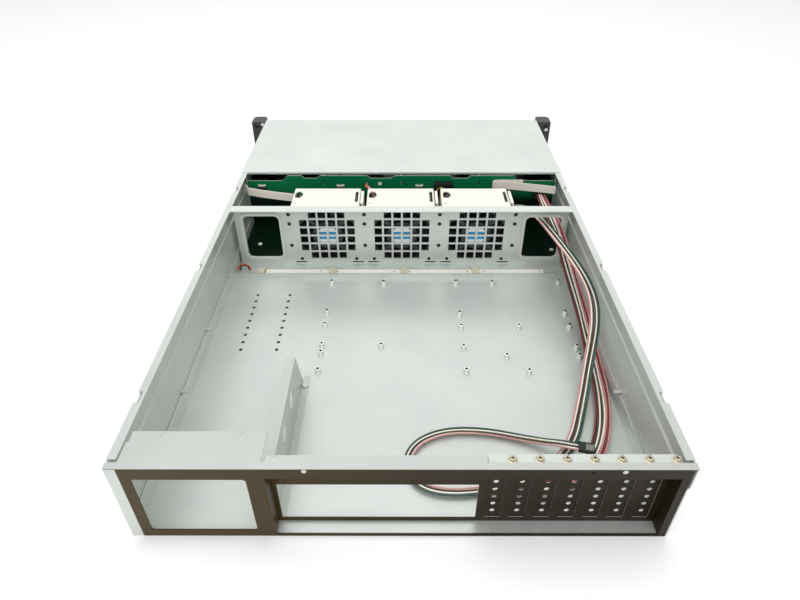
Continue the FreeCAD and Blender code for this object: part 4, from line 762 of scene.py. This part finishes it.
class CASE_OT_fasteners(bpy.types.Operator):
    """Make the slot screws and standoffs, and finish the screws, strip and clips"""

    bl_idname = "case.fasteners"
    bl_label = "Fasteners"

    def execute(self, context):
        plated = plated_material("screw_plating", colour("#DDD6BE"), 0.2)
        # Painted shade: a dark cross stands in for the shade in each screw's recess.
        shade = plated_material("screw_recess", colour("#4C4636"), 0.4)
        bright = plated_material("standoff_plating", colour("#F6F8F4"), 0.16, 0.6)
        zinc = plated_material("case_screw_plating", colour("#D3D6D1"), 0.25)
        # Painted shade: the standoffs' bores are given a near black.
        painted_bore_shade = plated_material("standoff_bore", colour("#222220"), 0.5)
        dress(("case_screws",), zinc)
        dress(("guide_strip",), plastic_material("strip_nylon", colour("#EDEAE0"), 0.45))
        dress(("strip_clips",), plastic_material("clip_nylon", colour("#CFC7B0"), 0.45))
        self.make_slot_screws(plated, shade)
        self.make_standoffs(bright, painted_bore_shade)
        return {"FINISHED"}

    def make_slot_screws(self, plated, shade):
        """Hexagon heads on washers, each with a dark cross as the painted shade of its recess."""
        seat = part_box("slot_screws")[1].z / MM - SCREW_HEIGHT
        profile = [(0, 0), (WASHER_RADIUS, 0), (WASHER_RADIUS, 0.5), (WASHER_RADIUS - 0.4, 0.7),
                   (2.75, 0.7), (2.75, SCREW_HEIGHT - 0.4), (2.4, SCREW_HEIGHT),
                   (CROSS_LENGTH, SCREW_HEIGHT), (CROSS_LENGTH, SCREW_HEIGHT - 0.08),
                   (0, SCREW_HEIGHT - 0.15)]
        low, high = seat + SCREW_HEIGHT - 0.2, seat + SCREW_HEIGHT - 0.01
        parts = []
        for x in SLOT_SCREWS:
            points, faces = turned(profile, at(x, SCREW_ROW, seat), "Z", 36, slice(4, 7))
            parts.append((points, faces, 0))
            for half_x, half_y in ((CROSS_LENGTH, CROSS_WIDTH), (CROSS_WIDTH, CROSS_LENGTH)):
                block, sides = cushioned_block(at(x - half_x, SCREW_ROW - half_y, low),
                                               at(x + half_x, SCREW_ROW + half_y, high))
                parts.append((block, sides, 1))
        screws = gather("slot_screw_heads", parts, [plated, shade])
        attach(screws, "chassis")
        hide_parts("slot_screws")

    def make_standoffs(self, bright, painted_bore_shade):
        """Turned posts with a flared foot and a threaded bore painted dark as its shade."""
        profile = [(0, 0), (POST_FOOT, 0), (POST_FOOT, 0.9), (POST_RADIUS, 1.3),
                   (POST_RADIUS, POST_HEIGHT - 0.3), (POST_RADIUS - 0.3, POST_HEIGHT),
                   (BORE_RADIUS, POST_HEIGHT), (THREAD_RADIUS, POST_HEIGHT - 0.2),
                   (THREAD_RADIUS, BORE_FLOOR), (0, BORE_FLOOR)]
        around = 28
        slots = np.repeat([0] * 6 + [1] * 3, around)
        parts = []
        for x, places in STANDOFFS:
            for distance in places:
                points, faces = turned(profile, at(x, distance, STEEL), "Z", around)
                parts.append((points, faces, slots))
        posts = gather("standoff_posts", parts, [bright, painted_bore_shade])
        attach(posts, "chassis")
        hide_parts("standoffs")


FAN_PITCH = 95.4
FAN_PLACES = (-94.3, 1.1, 96.5)
FAN_LEVEL = 43.8
MOTOR_FACE = 389.95
WALL_FACE = 387.2
# The push pins stand between the fans and outside them, with raised dots about them.
PIN_COLUMNS = tuple(FAN_PLACES[0] + FAN_PITCH * (index - 0.5) for index in range(4))
PIN_LEVELS = (76.4, 62.8, 30.6)
DOT_PLACES = ((0.0, 55.8), (0.0, 36.9), (-4.8, 23.9), (4.8, 23.9))
# Below each fan, two slots in the wall are filled with black blocks, painted shade that makes them
# read dark; they start at these distances from its middle.
SHADED_SLOT_STARTS = (-45.0, 30.4)
SLOT_SHADE_LENGTH, SLOT_SHADE_LOW, SLOT_SHADE_HIGH = 14.6, 3.9, 5.8


class CASE_OT_fans(bpy.types.Operator):
    """Finish the fans and window trims, and make the motor labels and the wall's push pins"""

    bl_idname = "case.fans"
    bl_label = "Fans"

    def execute(self, context):
        settings = context.scene.case_fan
        cream = plastic_material("case_cream", settings.case_cream, 0.4)
        black = plastic_material("fan_black", settings.frame_black, 0.38)
        grey = plastic_material("motor_grey", settings.motor_grey, 0.42)
        for number in (1, 2, 3):
            dress(("fan_case_%d" % number,), cream)
            dress(("fan_frame_%d" % number,), grey)
            dress(("fan_rotor_%d" % number,), black)
        dress(("window_trims",), striped_plastic("trim_pale", settings.trim_pale,
                                                 colour("#B9BDB2"), settings.tooth, 0.5, "XZ"))
        self.make_labels(settings)
        self.make_pins()
        return {"FINISHED"}

    def make_labels(self, settings):
        """Discs on the motors: polar grids with a thin rim."""
        around, thick = 40, 0.25
        reach = settings.label_radius / MM
        profile = [(0, thick), (reach * 0.5, thick), (reach - 0.1, thick), (reach, thick - 0.1),
                   (reach, -0.05)]
        parts = [turned(profile, at(x, MOTOR_FACE, FAN_LEVEL), "-Y", around) + (0,)
                 for x in FAN_PLACES]
        labels = gather("motor_labels", parts, [label_material(settings)])
        discs = labels.data.uv_layers.new(name="disc")
        corners = np.empty(len(labels.data.loops), np.int32)
        labels.data.loops.foreach_get("vertex_index", corners)
        places = vertex_places(labels.data)[corners] / MM
        middles = np.array(FAN_PLACES)[np.abs(places[:, :1] - FAN_PLACES).argmin(axis=1)]
        spots = np.stack([places[:, 0] - middles, places[:, 2] - FAN_LEVEL], -1) / (2 * reach) + 0.5
        discs.data.foreach_set("uv", spots.ravel())
        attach(labels, "chassis")

    def make_pins(self):
        """Black pins in the wall's holes, small raised dots round them, and black blocks in the
        wall's low slots as their painted shade.
        """
        pin = [(0, 1.1), (1.4, 1.0), (2.2, 0.5), (2.4, 0.1), (2.4, -0.6), (0, -0.6)]
        dot = [(0, 0.5), (0.5, 0.42), (0.9, 0.02), (0.9, -0.05), (0, -0.05)]
        parts = []
        for x in PIN_COLUMNS:
            for z in PIN_LEVELS:
                parts.append(turned(pin, at(x, WALL_FACE, z), "-Y", 20) + (0,))
            for shift, z in DOT_PLACES:
                parts.append(turned(dot, at(x + shift, WALL_FACE, z), "-Y", 12) + (1,))
        # Painted shade: black blocks inside the sheet's thickness fill the low slots.
        near, far = WALL_FACE + 0.15, WALL_FACE + STEEL - 0.05
        slack = 0.05
        for middle in FAN_PLACES:
            for start in SHADED_SLOT_STARTS:
                left = middle + start
                parts.append(cushioned_block(
                    at(left + slack, near, SLOT_SHADE_LOW + slack),
                    at(left + SLOT_SHADE_LENGTH - slack, far, SLOT_SHADE_HIGH - slack)) + (0,))
        pins = gather("wall_pins", parts, [
            plastic_material("pin_black", colour("#101113"), 0.4),
            plated_material("dot_bright", colour("#EDEFEA"), 0.25)])
        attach(pins, "chassis")


BOARD_FACE = 479.96
CLIP_PLACES = (-193.0, -84.0, 25.0)
# Each clip is a body and two tabs: left and right end, near face, lower and upper end.
CLIP_BLOCKS = ((-3.6, 3.6, 478.4, 66.9, 70.4), (-5.4, -3.2, 479.3, 66.0, 71.2),
               (3.2, 5.4, 479.3, 66.0, 71.2))
LOWER_BOARD_TOP = 9.62
DOME_PLACES = ((-192.8, 422.5), (203.0, 408.9))
RIVET_PLACE = (-29.4, 72.0)
RIBBON_PITCH = 1.27


class CASE_OT_board(bpy.types.Operator):
    """Finish the backplane, its connectors and the flat cables, and add its clips and screws"""

    bl_idname = "case.board"
    bl_label = "Backplane"

    def execute(self, context):
        settings = context.scene.case_board
        dress(("backplane_board",), board_material(settings))
        dress(("board_connectors",),
              plastic_material("connector_black", settings.connector_black, 0.4))
        dress(("ribbon_left", "ribbon_right"),
              striped_plastic("ribbon_cream", settings.ribbon_white, colour("#E3DACB"),
                              RIBBON_PITCH * MM, 0.4, "Z"))
        pale = plastic_material("clip_pale", colour("#D9DDD0"), 0.35, coat=0.3)
        parts = []
        for x in CLIP_PLACES:
            for left, right, near, low, high in CLIP_BLOCKS:
                parts.append(cushioned_block(at(x + left, near, low),
                                             at(x + right, BOARD_FACE, high)) + (0,))
        dome = [(0, 1.9), (1.2, 1.85), (2.6, 1.2), (3.0, 0.3), (3.0, 0), (0, 0)]
        for x, distance in DOME_PLACES:
            parts.append(turned(dome, at(x, distance, LOWER_BOARD_TOP), "Z", 24) + (0,))
        rivet = [(0, 0.15), (2.6, 0.15), (2.7, 0), (0, 0)]
        parts.append(turned(rivet, at(RIVET_PLACE[0], BOARD_FACE - 0.01, RIVET_PLACE[1]),
                            "-Y", 24) + (0,))
        clips = gather("board_clips", parts, [pale])
        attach(clips, "chassis")
        return {"FINISHED"}


SIGNAL_ROUTE = (
    (150.0, 473.0, 50.0), (150.0, 456.0, 50.0), (158.0, 441.0, 60.0), (169.0, 418.0, 66.0),
    (178.0, 388.0, 68.8), (186.0, 352.0, 69.2), (193.0, 320.0, 69.0), (200.0, 291.0, 67.0),
    (205.0, 262.0, 64.0), (206.5, 236.0, 59.5), (203.5, 212.0, 52.0), (197.0, 190.0, 41.0),
    (189.0, 168.0, 28.5), (181.0, 143.0, 14.5), (172.0, 119.0, 6.6), (163.5, 98.0, 4.9),
    (147.5, 74.0, 4.9), (122.0, 54.0, 4.9), (84.0, 41.0, 4.9), (46.0, 36.0, 4.9),
    (20.0, 41.0, 4.9), (6.0, 58.0, 4.9), (7.0, 79.0, 4.9), (20.5, 95.0, 4.9),
    (46.0, 104.5, 4.9), (80.0, 103.5, 4.9), (112.0, 95.8, 4.9), (131.0, 89.0, 8.0),
    (144.0, 83.0, 13.4), (153.6, 80.06, 14.2), (160.9, 78.5, 14.2),
)
POWER_ROUTE = (
    (192.0, 470.0, 61.0), (192.0, 450.0, 61.0), (193.5, 425.0, 62.0), (195.5, 402.0, 62.5),
    (197.0, 375.0, 59.5), (199.0, 350.0, 52.5), (201.0, 325.0, 43.5), (203.5, 298.0, 33.5),
    (206.0, 270.0, 24.0), (206.8, 245.0, 17.0), (206.5, 222.0, 12.2), (206.0, 198.0, 8.8),
    (204.5, 172.0, 7.0), (201.8, 148.0, 7.0), (197.0, 123.0, 7.0), (189.4, 99.8, 7.0),
    (180.5, 80.5, 7.0), (167.0, 63.0, 7.0), (149.5, 49.5, 7.0), (133.0, 42.0, 7.0),
    (117.0, 37.8, 7.0),
)
FAN_LEAD_LOOPS = (
    ((-37.0, 428.0, 73.0), (-37.0, 436.0, 73.0), (-38.5, 441.0, 80.0), (-43.0, 447.0, 83.5),
     (-47.0, 457.0, 80.0), (-48.0, 467.0, 72.5), (-48.0, 480.0, 72.5)),
    ((58.0, 428.0, 73.0), (58.0, 436.0, 73.0), (57.0, 441.0, 80.0), (54.0, 447.0, 84.0),
     (51.5, 454.0, 79.5), (51.0, 460.0, 70.0), (51.0, 470.0, 70.0)),
    ((-211.0, 372.0, 2.3), (-211.0, 372.0, 5.0), (-209.2, 372.0, 9.0), (-204.3, 372.0, 10.8),
     (-199.4, 372.0, 9.0), (-197.6, 372.0, 5.0), (-197.6, 372.0, 2.3)),
)


JACKETS = ("cream", "rose", "crimson", "brown", "green", "orange", "yellow", "black", "tan")
SIGNAL_WIRES = ("rose", "cream", "brown", "tan", "cream", "green", "green")
POWER_WIRES = ("crimson", "brown", "cream", "brown", "cream", "rose", "crimson", "rose")
POWER_WIRES_BELOW = ("brown", "crimson", "black", "brown", "crimson", "black")
FAN_WIRES = (("orange", "rose"), ("yellow", "black", "brown"), ("orange", "black"))
# How far each lead spreads along its length, for wire_bundle.
SIGNAL_SPREAD = ((0, 0.85), (0.05, 1), (0.5, 1), (0.6, 0.7), (0.94, 0.72), (1, 0.85))
POWER_SPREAD = ((0, 0.8), (0.08, 1), (0.92, 1), (1, 0.8))
EVEN_SPREAD = ((0, 1), (1, 1))
LOWER_LAYER = -1.9
LOWER_SHARE = 0.8
LOOP_WIDTH = 3.6
THICKEST_WIRE = 1.15
PHASE_STEP = 0.17
SIGNAL_PLUG_TURN = math.radians(-12.06)
# The contact tongues: where each starts along the plug, and their size.
CONTACT_PLACES = (6.6, 8.4, 10.2, 12.0)
CONTACT_WIDTH, CONTACT_REACH = 0.8, 3.4


class CASE_OT_leads(bpy.types.Operator):
    """Lay the signal, power and fan leads as flat bundles of coloured wires"""

    bl_idname = "case.leads"
    bl_label = "Leads"

    def execute(self, context):
        settings = context.scene.case_lead
        jackets = [wire_material("wire_" + name, getattr(settings, name)) for name in JACKETS]
        signal = self.lay("signal_wires", SIGNAL_ROUTE, settings.signal_width, jackets,
                          ((SIGNAL_WIRES, 0.0),), "connector", ["lead_plugs"], SIGNAL_SPREAD)
        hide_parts("signal_lead")
        power = self.lay("power_wires", POWER_ROUTE, settings.power_width, jackets,
                         ((POWER_WIRES, 0.0), (POWER_WIRES_BELOW, LOWER_LAYER)),
                         "connector", ["lead_plugs"], POWER_SPREAD)
        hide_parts("power_lead")
        for number, (route, order) in enumerate(zip(FAN_LEAD_LOOPS, FAN_WIRES), 1):
            wires = self.lay("fan_wires_%d" % number, route, LOOP_WIDTH * MM, jackets,
                             ((order, 0.0),), None, [], EVEN_SPREAD)
            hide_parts("fan_leads")
        dress(("lead_plugs",), plastic_material("plug_black", colour("#141518"), 0.4))
        self.make_contacts()
        return {"FINISHED"}

    def make_contacts(self):
        """Pale contact tongues in the signal plug's top, turned with it about its rear end."""
        end = at(*SIGNAL_ROUTE[-1][:2], 0)
        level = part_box("lead_plugs")[1].z / MM
        turn = np.array(Matrix.Rotation(SIGNAL_PLUG_TURN, 3, "Z"))
        parts = []
        for along in CONTACT_PLACES:
            low = np.array((along, -CONTACT_REACH, level - 0.1))
            high = np.array((along + CONTACT_WIDTH, CONTACT_REACH, level + 0.12))
            points, faces = cushioned_block(low * MM, high * MM)
            parts.append((points @ turn.T + end, faces, 0))
        contacts = gather("plug_contacts", parts,
                          [plated_material("contact_pale", colour("#C9C6B8"), 0.35)])
        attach(contacts, "chassis")

    def lay(self, name, route, width, jackets, layers, far_end, plugs, spread):
        """A flat bundle: each layer's wires lie side by side over the width, a wire apart.

        A layer is its wires' jackets, in order, and its height. A loop held at both ends has no
        far_end and isn't a free cord.
        """
        line = spline_points(name, route)
        strands = []
        for order, height in layers:
            radius = width / len(order) / 2
            share = width if height == 0.0 else width * LOWER_SHARE
            places = np.linspace(-share / 2 + radius, share / 2 - radius, len(order))
            thin = min(radius, THICKEST_WIRE * MM)
            strands += [(place, height * MM, thin, PHASE_STEP * index, JACKETS.index(jacket))
                        for index, (place, jacket) in enumerate(zip(places, order))]
        side = None if far_end else (1, 0, 0)
        wires = wire_bundle(name, line, side, strands, jackets, spread)
        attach(wires, "chassis")
        return wires


class CASE_OT_front(bpy.types.Operator):
    """Finish the ears, buttons, trays and levers"""

    bl_idname = "case.front"
    bl_label = "Front"

    def execute(self, context):
        settings = context.scene.case_front
        dress(("ear_left", "ear_right"), plastic_material("ear_black", settings.ear_black, 0.42))
        dress(("power_button", "reset_button"),
              plastic_material("button_grey", colour("#2B2D30"), 0.3, coat=0.3))
        tray = plastic_material("tray_black", settings.tray_black, 0.45)
        lever = plastic_material("lever_grey", settings.lever_grey, 0.35)
        dress([name for name in CAD_NODES if name.startswith("tray_")], tray)
        dress([name for name in CAD_NODES if name.startswith("lever_")], lever)
        return {"FINISHED"}


# The camera's X, distance and Z, and its small turns about the upright and about its own view.
CAMERA_PLACE = (0.74, -270.84, 456.32)
CAMERA_YAW = math.radians(0.188)
CAMERA_ROLL = math.radians(-0.082)
CAMERA_SHIFT = -0.0206
FLOOR_REACH = 8.0
UNDER_CASE = (200.0, 330.0)
SURROUND_LIGHT = 0.74
SURROUND_SEEN = 0.35


class CASE_OT_studio(bpy.types.Operator):
    """Set the floor, the lights and the camera"""

    bl_idname = "case.studio"
    bl_label = "Studio"

    def execute(self, context):
        settings = context.scene.case_studio
        scene = context.scene
        scene.view_settings.view_transform = "Standard"
        camera = bpy.data.cameras.new("case_camera")
        camera.lens = settings.lens
        camera.sensor_width = 36.0
        camera.shift_y = CAMERA_SHIFT
        viewer = bpy.data.objects.new("case_camera", camera)
        x, distance, z = CAMERA_PLACE
        turn = (Matrix.Rotation(CAMERA_YAW, 4, "Z")
                @ Matrix.Rotation(math.radians(90) - settings.pitch, 4, "X")
                @ Matrix.Rotation(CAMERA_ROLL, 4, "Z"))
        viewer.matrix_world = Matrix.Translation((x * MM, from_rear(distance), z * MM)) @ turn
        scene.collection.objects.link(viewer)
        scene.camera = viewer
        self.make_floor(settings)
        self.make_lights(scene, settings)
        return {"FINISHED"}

    def make_floor(self, settings):
        """A plain pale floor, dark where the case covers it, so that no light comes up there."""
        finish, tree, shader = new_material("studio_floor", Roughness=0.9, Specular_IOR_Level=0.1)
        place = object_axes(tree)
        under = arithmetic(tree, "MULTIPLY", *[
            between(tree, place[axis], -half * MM, half * MM, 10.0 * MM)
            for axis, half in zip("XY", UNDER_CASE)])
        feed(tree, shader, "Base Color",
             blend_colours(tree, under, tuple(settings.backdrop), colour("#141312")))
        corners = FLOOR_REACH * np.array([(-1, -1, 0), (1, -1, 0), (1, 1, 0), (-1, 1, 0)])
        floor = make_piece("studio_floor", corners, [(0, 1, 2, 3)], [finish], smooth=False)

    def make_lights(self, scene, settings):
        """Soft light from all round, brighter to the camera, and three panels of light."""
        world = bpy.data.worlds.new("studio_world")
        scene.world = world
        world.use_nodes = True
        surround = world.node_tree.nodes["Background"]
        surround.inputs["Color"].default_value = tuple(settings.backdrop)
        seen = world.node_tree.nodes.new("ShaderNodeLightPath").outputs["Is Camera Ray"]
        strength = arithmetic(world.node_tree, "MULTIPLY_ADD", seen, SURROUND_SEEN,
                              SURROUND_LIGHT)
        world.node_tree.links.new(strength, surround.inputs["Strength"])
        # Each panel's name, place, turns in degrees, width, depth and power.
        for name, place, turn, wide, deep, power in (
                ("key_light", (-0.2, -0.1, 1.9), (0, -6, 0), 1.8, 1.8, settings.key_power),
                ("back_light", (0.0, 2.2, 1.6), (-90, 0, 0), 3.2, 1.8, settings.back_power),
                ("camera_light", (0.0, -1.6, 1.3), (52, 0, 0), 1.8, 1.2, settings.fill_power)):
            lamp = bpy.data.lights.new(name, "AREA")
            lamp.shape = "RECTANGLE"
            lamp.size = wide
            lamp.size_y = deep
            lamp.energy = power
            holder = bpy.data.objects.new(name, lamp)
            holder.location = place
            holder.rotation_euler = Euler([math.radians(angle) for angle in turn])
            scene.collection.objects.link(holder)


OPERATORS = (CASE_OT_sheets, CASE_OT_fasteners, CASE_OT_fans, CASE_OT_board, CASE_OT_leads,
             CASE_OT_front, CASE_OT_studio)


class CASE_PT_panel(bpy.types.Panel):
    """The pieces of the case, one button each"""

    bl_label = "Server case"
    bl_idname = "CASE_PT_panel"
    bl_space_type = "VIEW_3D"
    bl_region_type = "UI"
    bl_category = "Server case"

    def draw(self, context):
        for operator in OPERATORS:
            self.layout.operator(operator.bl_idname)


def register():
    for settings in SETTINGS.values():
        bpy.utils.register_class(settings)
    for name, settings in SETTINGS.items():
        setattr(bpy.types.Scene, name, bpy.props.PointerProperty(type=settings))
    for operator in OPERATORS:
        bpy.utils.register_class(operator)
    bpy.utils.register_class(CASE_PT_panel)


def unregister():
    bpy.utils.unregister_class(CASE_PT_panel)
    for operator in reversed(OPERATORS):
        bpy.utils.unregister_class(operator)
    for name in reversed(SETTINGS):
        delattr(bpy.types.Scene, name)
        bpy.utils.unregister_class(SETTINGS[name])


def main():
    register()
    bpy.ops.case.studio()
    bpy.ops.case.sheets()
    bpy.ops.case.fasteners()
    bpy.ops.case.fans()
    bpy.ops.case.board()
    bpy.ops.case.leads()
    bpy.ops.case.front()


if __name__ == "__main__":
    main()
